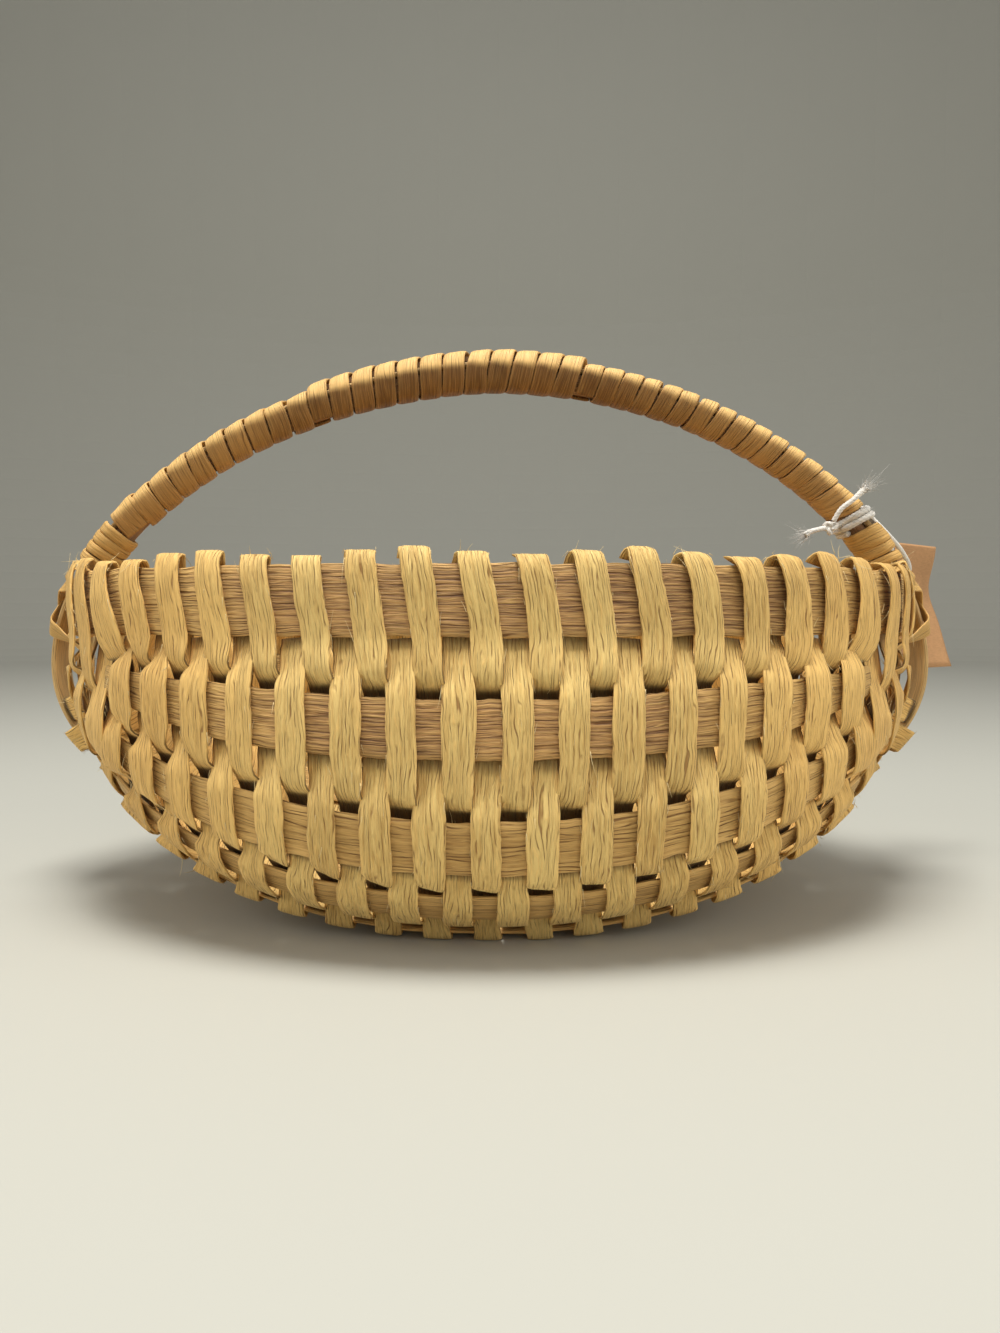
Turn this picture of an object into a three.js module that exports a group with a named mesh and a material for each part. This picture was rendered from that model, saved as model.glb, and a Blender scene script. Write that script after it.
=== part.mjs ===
// Splint egg basket, life size, standing on its two lobes.
// Millimetres, +Z up, length along X, depth along Y, floor at Z = 0.
// Flat splints are swept as rectangular strips; every weaver runs over and under the
// ribs and turns round the rim, as in the real weave.
import * as THREE from 'three';

// Basket body
const RIM_HALF_LENGTH = 150;      // centreline of the oval rim, along X
const RIM_HALF_DEPTH = 103;       // centreline of the oval rim, along Y
const RIM_LEVEL = 107.5;          // middle of the rim band above the floor
const RIM_HEIGHT = 20.5;          // a 3/4 inch flat splint on edge
const RIM_THICKNESS = 2.5;
const RIB_WIDTH = 17;             // flat 5/8 inch ribs at their middle
const RIB_END_WIDTH = 7;          // whittled down where they meet at the ears
const RIB_THICKNESS = 1.8;
const EAR_LEVEL = RIM_LEVEL - 8.5; // height at which the ribs come together
const FIT = 0.35;                 // air between two splints that lie on each other

// Bow: one flat hoop makes the keel and the outer face of the handle
const HOOP_HALF_LENGTH = RIM_HALF_LENGTH + 13;
const HOOP_WAIST = RIM_LEVEL - 22.5; // height at which the hoop is widest
const HOOP_TOP = 196;             // centreline of the splint at the top of the handle
const KEEL_LEVEL = 14;            // centreline of the splint under the basket
const HOOP_WIDTH = 15;
const HOOP_THICKNESS = 2.4;
const BOW_FULLNESS = 1.85;        // below 2 the bow is a little pointed, as pictured
const BOW_LEAN = 3.55;            // the top of the handle stands a little to the right
const KEEL_FULLNESS = 2.15;
const EAR_SPREAD = 12;            // how far outside the ribs the last weavers meet the hoop
const CORE_WIDTH = 13;            // filler under the wrapping, at its outer side
const CORE_FOOT = 6.8;            // and at its inner side, in the hand
const CORE_THICKNESS = 4.6;
const CORE_SWELL = 1;             // by which it is thicker in the middle of the handle
const OVERLAY_WIDTH = 11;         // second splint under the wrapping, in the middle only
const OVERLAY_THICKNESS = 1.6;
const OVERLAY_RIGHT_X = 32;
const OVERLAY_LEFT_X = -66;

// Weavers
const WEAVER_WIDTH = 9;           // 3/8 inch splints
const WEAVER_WAIST = 6.3;         // squeezed where two weavers pass between two ribs
const WEAVER_THICKNESS = 1.1;
const LANE = 0.0394;              // share of half a rib between neighbouring weavers
const LAST_LANE = 22;             // lanes each side of the middle one
const LAST_FULL_LANE = 16;        // beyond this only the long ribs are left
const EAR_ZONE_GAP = 2;           // air between the last weavers where they cross a rib
const EAR_ZONE_STEP = 0.011;      // room for the ends of the short ribs
const RIM_LEAN = 0.42;            // lanes by which a weaver leans where it climbs the rim
const LANES_PER_SPLINT = 4;
const TURN_RISE = 3.2;            // how far a weaver stands above the rim where it turns
const EDGE_CLEAR = 0.6;           // length by which a weaver runs on past a rib edge

// Handle wrapping
const WRAP_THICKNESS = 1.1;
const LEFT_WRAP = { pitch: 7.9, width: 6.8, slack: 0 };
const MIDDLE_WRAP = { pitch: 8.1, width: 7, slack: 0 };
const RIGHT_WRAP = { pitch: 7, width: 6, slack: 0 };
const NECK_WRAP = { pitch: 4.3, width: 3.4, slack: 0.25 };
const NECK_TURNS = 4;
const NECK_ABOVE_RIM = 2;         // air between the rim and the first turn of a neck lashing
const LASHING_WIDTH = 5.6;        // crossed lashing at each ear
const LASHING_THICKNESS = 0.8;

// Tag and string
const STRING_DIAMETER = 1.8;
const STRING_PITCH = 2.5;
const STRING_TURNS = 2;
const STRING_TILT = 1.4;          // the turns stand higher on the inner side of the handle
const STRING_AFTER_NECK = 4.3;    // middle of the turns from the end of the neck lashing
const BARE_NECK = 8.8;            // length of the foot left free for the string
const TAG_WIDTH = 38;
const TAG_HEIGHT = 50;
const TAG_THICKNESS = 0.7;
const TAG_HOLE = 5;
const TAG_HOLE_IN = 6;            // hole centre from the inner edge of the tag
const TAG_HOLE_DOWN = 14;         // hole centre below the top edge
const TAG_HOLE_AT = [HOOP_HALF_LENGTH + 1.3, 20.7, RIM_LEVEL + 10.5];
const TAG_TURN = 44 * Math.PI / 180;

// Colours
const WEAVER_COLOURS = ['#d0ae6a', '#c9a563', '#d4b473', '#c6a260'];
const RIB_COLOUR = '#a07a4c';
const RIM_COLOUR = '#a27b4b';
const HANDLE_COLOUR = '#b98d50';
const STRING_COLOUR = '#dcd8ce';
const TAG_COLOUR = '#a8835f';

const group = new THREE.Group();
group.name = 'splint_egg_basket';

const V = (x, y, z) => new THREE.Vector3(x, y, z);
const mix = (a, b, f) => a + (b - a) * f;
const clamp = (v, lo, hi) => Math.min(hi, Math.max(lo, v));
const degrees = (v) => v * Math.PI / 180;

function addPiece(name, geometry, colour, roughness = 0.75) {
  const material = new THREE.MeshStandardMaterial({ color: colour, roughness, metalness: 0 });
  material.name = name + '_surface';
  const mesh = new THREE.Mesh(geometry, material);
  mesh.name = name;
  group.add(mesh);
  return mesh;
}

// A section carried along a path. Each station has a point, the direction in which the
// flat side looks, and the section there as [along normal, across] pairs, turning from
// the normal towards the width.
function sweep(points, normals, sections, closed = false) {
  const count = points.length;
  const sides = sections[0].length;
  const position = [];
  const index = [];
  for (let i = 0; i < count; i++) {
    const before = points[closed ? (i + count - 1) % count : Math.max(i - 1, 0)];
    const after = points[closed ? (i + 1) % count : Math.min(i + 1, count - 1)];
    const into = points[i].clone().sub(before);
    const outOf = after.clone().sub(points[i]);
    if (into.lengthSq() < 1e-12) into.copy(outOf);
    if (outOf.lengthSq() < 1e-12) outOf.copy(into);
    into.normalize();
    outOf.normalize();
    const along = into.clone().add(outOf).normalize();
    const bend = outOf.clone().sub(into);
    const half = clamp(along.dot(into), 0.62, 1);
    const normal = normals[i].clone().addScaledVector(along, -normals[i].dot(along)).normalize();
    const across = along.clone().cross(normal);
    if (bend.lengthSq() > 1e-10) bend.normalize();
    for (const [n, w] of sections[i]) {
      const offset = normal.clone().multiplyScalar(n).addScaledVector(across, w);
      offset.addScaledVector(bend, offset.dot(bend) * (1 / half - 1));
      offset.add(points[i]);
      position.push(offset.x, offset.y, offset.z);
    }
  }
  const spans = closed ? count : count - 1;
  for (let i = 0; i < spans; i++) {
    const here = i * sides;
    const next = ((i + 1) % count) * sides;
    for (let k = 0; k < sides; k++) {
      const l = (k + 1) % sides;
      index.push(here + k, here + l, next + l, here + k, next + l, next + k);
    }
  }
  if (!closed) {
    const end = (count - 1) * sides;
    for (let k = 1; k < sides - 1; k++) {
      index.push(0, k + 1, k);
      index.push(end, end + k, end + k + 1);
    }
  }
  const geometry = new THREE.BufferGeometry();
  geometry.setAttribute('position', new THREE.Float32BufferAttribute(position, 3));
  geometry.setIndex(index);
  geometry.computeVertexNormals();
  return geometry;
}

const flat = (thickness, width) => [
  [-thickness / 2, -width / 2],
  [thickness / 2, -width / 2],
  [thickness / 2, width / 2],
  [-thickness / 2, width / 2],
];

function round(diameter, sides) {
  const section = [];
  for (let k = 0; k < sides; k++) {
    const angle = 2 * Math.PI * k / sides;
    section.push([diameter / 2 * Math.cos(angle), diameter / 2 * Math.sin(angle)]);
  }
  return section;
}

// A curve measured by its own length: at(u) and along(u) for u from -1 to 1.
function measured(pointAt, steps = 480) {
  const points = [];
  const lengths = [0];
  for (let i = 0; i <= steps; i++) {
    points.push(pointAt(-1 + 2 * i / steps));
    if (i > 0) lengths.push(lengths[i - 1] + points[i].distanceTo(points[i - 1]));
  }
  const total = lengths[steps];
  const at = (u) => {
    const wanted = clamp((u + 1) / 2, 0, 1) * total;
    let low = 0;
    let high = steps;
    while (high - low > 1) {
      const middle = (low + high) >> 1;
      if (lengths[middle] <= wanted) low = middle;
      else high = middle;
    }
    const f = (wanted - lengths[low]) / (lengths[high] - lengths[low]);
    return points[low].clone().lerp(points[high], f);
  };
  const along = (u) => {
    const step = 0.004;
    return at(Math.min(u + step, 1)).sub(at(Math.max(u - step, -1))).normalize();
  };
  return { at, along, length: total };
}

// Place along the basket: the same share u lies at the same x on the rim and on every rib,
// so the weavers stand upright. Equal steps in u are equal steps along a rib.
const pace = measured((t) => {
  const angle = t * Math.PI / 2;
  return V(RIM_HALF_LENGTH * Math.sin(angle), RIM_HALF_DEPTH * Math.cos(angle), 0);
});
const placeX = (u) => pace.at(u).x;

function direction(at, u) {
  const step = 0.004;
  return at(Math.min(u + step, 0.99)).sub(at(Math.max(u - step, -0.99))).normalize();
}

// Half an oval from ear to ear. Fullness 2 is an ellipse, more is squarer.
function oval(depth, level, endLevel, fullness) {
  const at = (u) => {
    const x = placeX(u);
    const g = Math.max(0, 1 - Math.abs(x / RIM_HALF_LENGTH) ** fullness) ** (1 / fullness);
    return V(x, depth * g, endLevel + (level - endLevel) * g);
  };
  return { at, along: (u) => direction(at, u) };
}

// The weaver under the lowest rib touches the floor.
const LOBE_LEVEL = RIB_THICKNESS / 2 + FIT + WEAVER_THICKNESS;

// Ribs of the front half from the rim down to the keel, measured at mid length:
// [depth as a share of the rim's, height, lean of the flat side, fullness].
const RIB_STATIONS = [
  [1.0243, RIM_LEVEL - 36, -90, 2.0],
  [0.9903, RIM_LEVEL - 70, -74, 2.0],
  [0.8252, LOBE_LEVEL + 13.45, -38, 2.1],
  [0.5631, LOBE_LEVEL, 0, 2.15],
  [0.301, LOBE_LEVEL + 3.25, 13, 2.15],
];

function ribWidth(u, isLong) {
  const share = Math.cos(Math.abs(u) * Math.PI / 2 * 0.93) * 1.16;
  const tapered = RIB_WIDTH * Math.min(1, share ** 1.5);
  return Math.max(tapered, isLong ? RIB_END_WIDTH : RIB_END_WIDTH + 1.5);
}

// Keel seen as a rib. Towards the ears the hoop runs outside the other ribs.
function keelCurve() {
  const at = (u) => {
    const beyond = clamp((Math.abs(u) - 0.6) / 0.27, 0, 1.15);
    const x = placeX(u) + Math.sign(u) * EAR_SPREAD * beyond ** 1.6;
    const g = Math.max(0, 1 - Math.abs(x / HOOP_HALF_LENGTH) ** KEEL_FULLNESS) ** (1 / KEEL_FULLNESS);
    return V(x, 0, mix(HOOP_WAIST, KEEL_LEVEL, g));
  };
  return { at, along: (u) => direction(at, u) };
}

// Angle 0 is the keel, 90 degrees the widest place, 180 degrees the top of the handle.
function bowPoint(angle) {
  const upper = Math.abs(angle) > Math.PI / 2;
  const fullness = upper ? BOW_FULLNESS : KEEL_FULLNESS;
  const s = Math.sin(angle);
  const c = Math.cos(angle);
  const g = Math.abs(c) ** (2 / fullness);
  const lean = upper ? BOW_LEAN * g ** 2 : 0;
  const x = Math.sign(s) * Math.abs(s) ** (2 / fullness) * HOOP_HALF_LENGTH + lean;
  const z = upper ? mix(HOOP_WAIST, HOOP_TOP, g) : mix(HOOP_WAIST, KEEL_LEVEL, g);
  return V(x, 0, z);
}

const shortEnd = LANE * LAST_FULL_LANE + 0.024;
const longEnd = 0.915;

// The thirteen lengthwise members, from the front rim under the basket to the back rim.
const members = [];
const rimCurve = (side) => oval(side * RIM_HALF_DEPTH, RIM_LEVEL, RIM_LEVEL, 2);
members.push({
  curve: rimCurve(-1), lean: -90, isLong: true, width: () => RIM_HEIGHT, thickness: RIM_THICKNESS,
});
for (let j = 0; j < 5; j++) {
  const [depth, level, lean, fullness] = RIB_STATIONS[j];
  const isLong = j % 2 === 1;
  members.push({
    curve: oval(-depth * RIM_HALF_DEPTH, level, EAR_LEVEL, fullness),
    lean,
    isLong,
    width: (u) => ribWidth(u, isLong),
    thickness: RIB_THICKNESS,
  });
}
members.push({
  curve: keelCurve(), lean: 0, isLong: true, width: () => HOOP_WIDTH,
  thickness: HOOP_THICKNESS,
});
for (let j = 4; j >= 0; j--) {
  const [depth, level, lean, fullness] = RIB_STATIONS[j];
  const isLong = j % 2 === 1;
  members.push({
    curve: oval(depth * RIM_HALF_DEPTH, level, EAR_LEVEL, fullness),
    lean: -lean,
    isLong,
    width: (u) => ribWidth(u, isLong),
    thickness: RIB_THICKNESS,
  });
}
members.push({
  curve: rimCurve(1), lean: 90, isLong: true, width: () => RIM_HEIGHT, thickness: RIM_THICKNESS,
});

// Frame of a member at u: place, direction, across (towards the back rim) and outwards.
function frameAt(j, u) {
  const member = members[j];
  const place = member.curve.at(u);
  const along = member.curve.along(u);
  const across = V(0, Math.cos(degrees(member.lean)), Math.sin(degrees(member.lean)));
  if (j > 0 && j < 12 && j !== 6) {
    // towards the ears the flat side follows the neighbours
    const blend = clamp((Math.abs(u) - 0.45) / 0.3, 0, 1);
    const step = member.isLong && Math.abs(u) > shortEnd ? 2 : 1;
    const neighbours = members[j + step].curve.at(u).sub(members[j - step].curve.at(u)).normalize();
    across.lerp(neighbours, blend);
  }
  across.addScaledVector(along, -across.dot(along)).normalize();
  const outward = across.clone().cross(along);
  return { place, along, across, outward };
}

// Rim and ribs
{
  const points = [];
  const normals = [];
  const steps = 72;
  for (let i = 0; i < steps; i++) {
    const angle = 2 * Math.PI * (i + 0.5) / steps;
    points.push(V(RIM_HALF_LENGTH * Math.cos(angle), RIM_HALF_DEPTH * Math.sin(angle), RIM_LEVEL));
    normals.push(V(Math.cos(angle) / RIM_HALF_LENGTH, Math.sin(angle) / RIM_HALF_DEPTH, 0).normalize());
  }
  const section = flat(RIM_THICKNESS, RIM_HEIGHT);
  addPiece('rim_band', sweep(points, normals, points.map(() => section), true), RIM_COLOUR);
}

for (let j = 1; j < 12; j++) {
  if (j === 6) continue;
  const end = members[j].isLong ? longEnd : shortEnd;
  const steps = members[j].isLong ? 26 : 20;
  const points = [];
  const normals = [];
  const sections = [];
  for (let i = 0; i <= steps; i++) {
    const u = mix(-end, end, i / steps);
    const frame = frameAt(j, u);
    points.push(frame.place);
    normals.push(frame.outward);
    sections.push(flat(RIB_THICKNESS, members[j].width(u)));
  }
  const side = j < 6 ? 'front' : 'back';
  const number = j < 6 ? j : 12 - j;
  addPiece(`rib_${side}_${number}`, sweep(points, normals, sections), RIB_COLOUR);
}

// Hoop: keel, ears and outer face of the handle in one closed oval
const hoopSteps = 56;
{
  const points = [];
  const normals = [];
  for (let i = 0; i < hoopSteps; i++) {
    const angle = -Math.PI + 2 * Math.PI * (i + 0.5) / hoopSteps;
    points.push(bowPoint(angle));
  }
  for (let i = 0; i < hoopSteps; i++) {
    const along = points[(i + 1) % hoopSteps].clone().sub(points[(i + hoopSteps - 1) % hoopSteps]);
    normals.push(V(0, 1, 0).cross(along).normalize());
  }
  const section = flat(HOOP_THICKNESS, HOOP_WIDTH);
  addPiece('bow_hoop', sweep(points, normals, points.map(() => section), true), HANDLE_COLOUR);
}

// Handle curve from the left ear over the top to the right ear, by its own length.
const overTop = measured((t) => bowPoint(Math.PI + t * Math.PI / 2));
const bow = {
  length: overTop.length,
  at: (s) => overTop.at(2 * s / overTop.length - 1),
  along: (s) => overTop.along(2 * s / overTop.length - 1),
};
// s grows from the right ear to the left ear because the angle passes 180 degrees
const bowOutward = (s) => V(0, 1, 0).cross(bow.along(s)).normalize();

function bowLengthAtHeight(height, fromEnd) {
  let s = 0;
  const step = 0.25;
  while (s < bow.length / 2 && bow.at(fromEnd ? bow.length - s : s).z < height) s += step;
  return fromEnd ? bow.length - s : s;
}
function bowLengthAtX(x) {
  let s = 0;
  while (s < bow.length && bow.at(s).x > x) s += 0.25;
  return s;
}

const neckStart = RIM_LEVEL + RIM_HEIGHT / 2 + NECK_ABOVE_RIM;
const firstNeck = bowLengthAtHeight(neckStart, false);
const lastNeck = bowLengthAtHeight(neckStart, true);
const neckLength = NECK_TURNS * NECK_WRAP.pitch + NECK_WRAP.width;
const coreSwell = (s) => CORE_SWELL * Math.sin(Math.PI * clamp(s / bow.length, 0, 1)) ** 4;

// A strip along the bow: how far outwards it lies and its section, both by length.
function bowStrip(name, from, to, outAt, sectionAt, steps) {
  const points = [];
  const normals = [];
  const sections = [];
  for (let i = 0; i <= steps; i++) {
    const s = mix(from, to, i / steps);
    const normal = bowOutward(s);
    points.push(bow.at(s).addScaledVector(normal, outAt(s)));
    normals.push(normal);
    sections.push(sectionAt(s));
  }
  addPiece(name, sweep(points, normals, sections), HANDLE_COLOUR);
}
function coreSection(s) {
  const foot = -CORE_THICKNESS - coreSwell(s);
  const w = CORE_WIDTH / 2;
  const f = CORE_FOOT / 2;
  return [[foot, -f], [-1, -w], [0, -w], [0, w], [-1, w], [foot, f]];
}
const coreOut = -HOOP_THICKNESS / 2 - FIT;
bowStrip('handle_core', firstNeck + 1, lastNeck - 1, () => coreOut, coreSection, 26);

// Wrapping: a flat splint wound round the bow. The ring gives the places where it bends,
// [outwards, along Y], from the inner side at the front over the back to the front again.
function wrapRing(raised, slack) {
  const rise = raised ? OVERLAY_THICKNESS + FIT : 0;
  const half = WRAP_THICKNESS / 2 + slack;
  const top = HOOP_THICKNESS / 2 + FIT + half + 0.25;
  const shoulder = -HOOP_THICKNESS / 2 - 0.6;
  const bottom = -(HOOP_THICKNESS / 2 + FIT + CORE_THICKNESS + FIT + half + 0.1);
  const side = HOOP_WIDTH / 2 + FIT + half + 0.4;
  const low = CORE_FOOT / 2 + half + 0.25;
  const topRun = raised ? OVERLAY_WIDTH / 2 + 0.9 : side - 1.1;
  return [
    [bottom, -low], [bottom, low], [shoulder, side], [top - 1.1, side],
    [top + rise, topRun], [top + rise, -topRun], [top - 1.1, -side], [shoulder, -side],
  ];
}
// The inner side of a turn follows the filler where that is thicker.
const sunk = (n, s) => (n < -HOOP_THICKNESS ? n - coreSwell(s) : n);

function turnsRound(name, from, turns, raised, wrap, colour, lead = 0) {
  const { pitch, width, slack } = wrap;
  const ring = wrapRing(raised, slack);
  const corners = ring.length;
  const reach = [0];
  ring.forEach((a, k) => {
    const b = ring[(k + 1) % corners];
    reach.push(reach[k] + Math.hypot(b[0] - a[0], b[1] - a[1]));
  });
  const share = (i) => Math.floor(i / corners) + reach[i % corners] / reach[corners];
  const points = [];
  const normals = [];
  for (let i = lead; i < turns * corners + lead; i++) {
    const k = i % corners;
    const s = from + pitch * (share(i) - share(lead));
    const outward = bowOutward(s);
    const [n, w] = ring[k];
    points.push(bow.at(s).addScaledVector(outward, sunk(n, s)).add(V(0, w, 0)));
    const a = ring[(k + corners - 1) % corners];
    const b = ring[(k + 1) % corners];
    normals.push(outward.clone().multiplyScalar(a[1] - b[1]).add(V(0, b[0] - a[0], 0)).normalize());
  }
  const section = flat(WRAP_THICKNESS, width);
  addPiece(name, sweep(points, normals, points.map(() => section)), colour);
  return points;
}

// Least air between one turn and the next, measured on the points of a wound strip.
function windingGap(points, perTurn, width) {
  let least = Infinity;
  for (let i = 0; i + perTurn < points.length; i++) {
    for (let k = -1; k <= 1; k++) {
      const other = points[i + perTurn + k];
      if (other) least = Math.min(least, points[i].distanceTo(other));
    }
  }
  return (least - width).toFixed(2);
}

// Start of the next winding when it follows close behind the one before.
function follow(from, turns, wrap, next) {
  return from + wrap.pitch * (turns - 1) + (wrap.width + next.width) / 2 + 0.8
    + Math.max(0, wrap.pitch - next.pitch);
}
// The turns are spread evenly over the length there is.
function spread(from, to, wrap) {
  const turns = Math.max(2, Math.floor((to - from) / wrap.pitch));
  return { turns, wrap: { ...wrap, pitch: (to - from) / turns } };
}

const neckRightFrom = firstNeck + NECK_WRAP.width / 2;
const neckLeftFrom = lastNeck - NECK_WRAP.width / 2 - NECK_TURNS * NECK_WRAP.pitch;
const overlayStart = bowLengthAtX(OVERLAY_RIGHT_X);
const rightFrom = firstNeck + neckLength + BARE_NECK + RIGHT_WRAP.width / 2;
const right = spread(rightFrom, overlayStart - 3.4, RIGHT_WRAP);
const middleFrom = follow(rightFrom, right.turns, right.wrap, MIDDLE_WRAP);
const middle = spread(middleFrom, bowLengthAtX(OVERLAY_LEFT_X), MIDDLE_WRAP);
const leftFrom = follow(middleFrom, middle.turns, middle.wrap, LEFT_WRAP);
const leftReach = NECK_WRAP.width / 2 + LEFT_WRAP.width / 2 + 0.8;
const left = spread(leftFrom, neckLeftFrom - leftReach, LEFT_WRAP);
const overlayEnd = middleFrom + middle.wrap.pitch * (middle.turns - 0.5) + 2;
const overlayOut = HOOP_THICKNESS / 2 + FIT + OVERLAY_THICKNESS / 2;
bowStrip('handle_overlay', overlayStart, overlayEnd, () => overlayOut,
  () => flat(OVERLAY_THICKNESS, OVERLAY_WIDTH), 14);

const rightPath = turnsRound('handle_wrap_right', rightFrom, right.turns, false, right.wrap, HANDLE_COLOUR, 1);
const middlePath = turnsRound('handle_wrap_middle', middleFrom, middle.turns, true, middle.wrap, '#b58b4f', 1);
const leftPath = turnsRound('handle_wrap_left', leftFrom, left.turns, false, left.wrap, '#bb9154', 1);
console.log('handle turns right', right.turns, 'middle', middle.turns, 'left', left.turns);
console.log('least gap in the wrapping', windingGap(rightPath, 8, RIGHT_WRAP.width),
  windingGap(middlePath, 8, MIDDLE_WRAP.width), windingGap(leftPath, 8, LEFT_WRAP.width));

// Neck lashings: a narrower splint, three turns at each foot of the handle. It starts on
// the outer side, so its turns show in front just above the rim.
const neckRight = turnsRound('neck_lashing_right', neckRightFrom, NECK_TURNS, false, NECK_WRAP, '#c39b5c', 5);
const neckLeft = turnsRound('neck_lashing_left', neckLeftFrom, NECK_TURNS, false, NECK_WRAP, '#c39b5c', 5);
console.log('least gap in the neck lashings', windingGap(neckRight, 8, NECK_WRAP.width),
  windingGap(neckLeft, 8, NECK_WRAP.width));

// Ear lashings: a splint crossed over the hoop outside and drawn down behind the rim
function hoopXAt(z, side) {
  let angle = Math.PI * 0.3;
  while (bowPoint(side * angle).z < z) angle += 0.002;
  return side * bowPoint(side * angle).x;
}
function earLashing(name, side) {
  const width = LASHING_WIDTH;
  const over = HOOP_THICKNESS / 2 + FIT + LASHING_THICKNESS / 2 + 0.4;
  const inner = RIM_HALF_LENGTH - RIM_THICKNESS / 2 - FIT - LASHING_THICKNESS / 2 - 1.9;
  const h = HOOP_WIDTH / 2 + WRAP_THICKNESS + width / 2 + 1.6;
  const v = RIM_HEIGHT / 2 + 1.2;
  const out = (z, more) => hoopXAt(RIM_LEVEL + z, side) + over + more;
  const slope = (z) => (out(z - 2, 0) - out(z + 2, 0)) / 4;
  // where the strip bends round the edge of the hoop
  const beside = HOOP_WIDTH / 2 + FIT + LASHING_THICKNESS / 2 + 2.8;
  const corner = (z) => out(z, 0) - 2;
  // [outwards, along Y, up, which way the flat side looks: outwards, along Y, up]
  const path = [
    [inner, -h, -5, -1, 0, 0],
    [inner, -h, -v, -1, 0, -0.3],
    [inner + 5, -h - 0.5, -v - 2.4, 0, -0.3, -1],
    [corner(-9), -beside, -9, 0.4, -0.9, -0.2],
    [out(-7, 0.2), -HOOP_WIDTH / 2, -7, 1, 0, slope(-7)],
    [out(6.6, 0.7), HOOP_WIDTH / 2, 6.6, 1, 0, slope(6.6)],
    [corner(7.6), beside, 7.6, 0.4, 0.9, 0.2],
    [inner + 5, h + 0.5, v + 2, 0, 0.3, 1],
    [inner, h, v - 0.6, -1, 0, 0.3],
    [inner, h, -v, -1, 0, -0.3],
    [inner + 5, h + 0.5, -v - 2.4, 0, 0.3, -1],
    [corner(-9), beside, -9, 0.4, 0.9, -0.2],
    [out(-7, 0.3), HOOP_WIDTH / 2, -7, 1, 0, slope(-7)],
    [out(-3, 1.6), 2.6, -3, 1, 0, slope(-3)],
    [out(3, 1.6), -2.6, 3, 1, 0, slope(3)],
    [out(6.6, 0.8), -HOOP_WIDTH / 2, 6.6, 1, 0, slope(6.6)],
    [corner(7.6), -beside, 7.6, 0.4, -0.9, 0.2],
    [inner + 5, -h - 0.5, v + 2, 0, -0.3, 1],
    [inner, -h, v - 0.6, -1, 0, 0.3],
    [inner, -h, -3.6, -1, 0, 0],
  ];
  const points = path.map(([x, y, z]) => V(side * x, y, RIM_LEVEL + z));
  const normals = path.map((p) => V(side * p[3], p[4], p[5]).normalize());
  const section = flat(LASHING_THICKNESS, width);
  addPiece(name, sweep(points, normals, points.map(() => section)), '#c7a05f');
}
earLashing('ear_lashing_right', 1);
earLashing('ear_lashing_left', -1);

// Weavers. Lanes with an even number pass outside the rim, odd ones inside.
const laneShare = (k) => LANE * k
  + (Math.abs(k) > LAST_FULL_LANE ? Math.sign(k) * EAR_ZONE_STEP : 0)
  + 0.0011 * Math.sin(k * 0.9) * (k === 0 ? 0 : 1);
const wander = (j, u) => (j === 4 || j === 8) && Math.abs(u) < 0.02
  ? 0 : 0.0028 * Math.sin(1.7 * j + 6 * u);

function earWidth(j, k) {
  const here = members[j].curve.at(laneShare(k));
  const next = members[j].curve.at(laneShare(k - Math.sign(k)));
  const most = Math.abs(k) > LAST_FULL_LANE + 1 ? WEAVER_WIDTH - 1 : WEAVER_WAIST - 0.2;
  return clamp(here.distanceTo(next) - EAR_ZONE_GAP - (j === 6 ? 0.9 : 0), 5.2, most);
}

function crossing(j, k, edge, side, isWide) {
  const u = laneShare(k) + wander(j, laneShare(k));
  const { place, across, outward } = frameAt(j, u);
  const member = members[j];
  // a weaver stays in its upright plane; only beside the ears it crosses the rib squarely
  const upright = outward.clone().cross(V(1, 0, 0)).negate();
  upright.divideScalar(Math.max(0.3, upright.dot(across)));
  upright.lerp(across, j === 6 ? 1 : clamp((Math.abs(u) - 0.6) / 0.08, 0, 1));
  const off = member.thickness / 2 + FIT + WEAVER_THICKNESS / 2 + 1.9 * Math.abs(u) ** 3;
  const reach = member.width(u) / 2 + EDGE_CLEAR + (Math.abs(u) > 0.6 ? 0.9 : 0);
  return {
    point: place.addScaledVector(upright, edge * reach).addScaledVector(outward, side * off),
    normal: outward,
    width: isWide ? WEAVER_WIDTH + 0.35 * Math.sin(j * 2.3 + k * 1.1) : earWidth(j, k),
  };
}

// Turn round a rim from lane a on one side to lane b on the other, over the top edge.
function rimTurn(j, a, b) {
  const upEdge = j === 0 ? -1 : 1;
  const shares = [mix(laneShare(a), laneShare(b), 0.36), mix(laneShare(a), laneShare(b), 0.5),
    mix(laneShare(a), laneShare(b), 1 - RIM_LEAN)];
  const sides = [a % 2 === 0 ? 1 : -1, 0, b % 2 === 0 ? 1 : -1];
  const off = RIM_THICKNESS / 2 + FIT + WEAVER_THICKNESS / 2 + 0.35;
  return shares.map((u, i) => {
    const { place, across, outward } = frameAt(j, u);
    const rise = RIM_HEIGHT / 2 + (i === 1 ? TURN_RISE : 0.9);
    const normal = outward.clone().multiplyScalar(sides[i]);
    if (i === 1) normal.copy(across).multiplyScalar(upEdge);
    else normal.addScaledVector(across, upEdge * 0.5).normalize();
    return {
      point: place.addScaledVector(across, upEdge * rise).addScaledVector(outward, sides[i] * off),
      normal,
      width: WEAVER_WIDTH - (Math.abs(a) > LAST_FULL_LANE ? 2 : 0.6),
    };
  });
}

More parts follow.
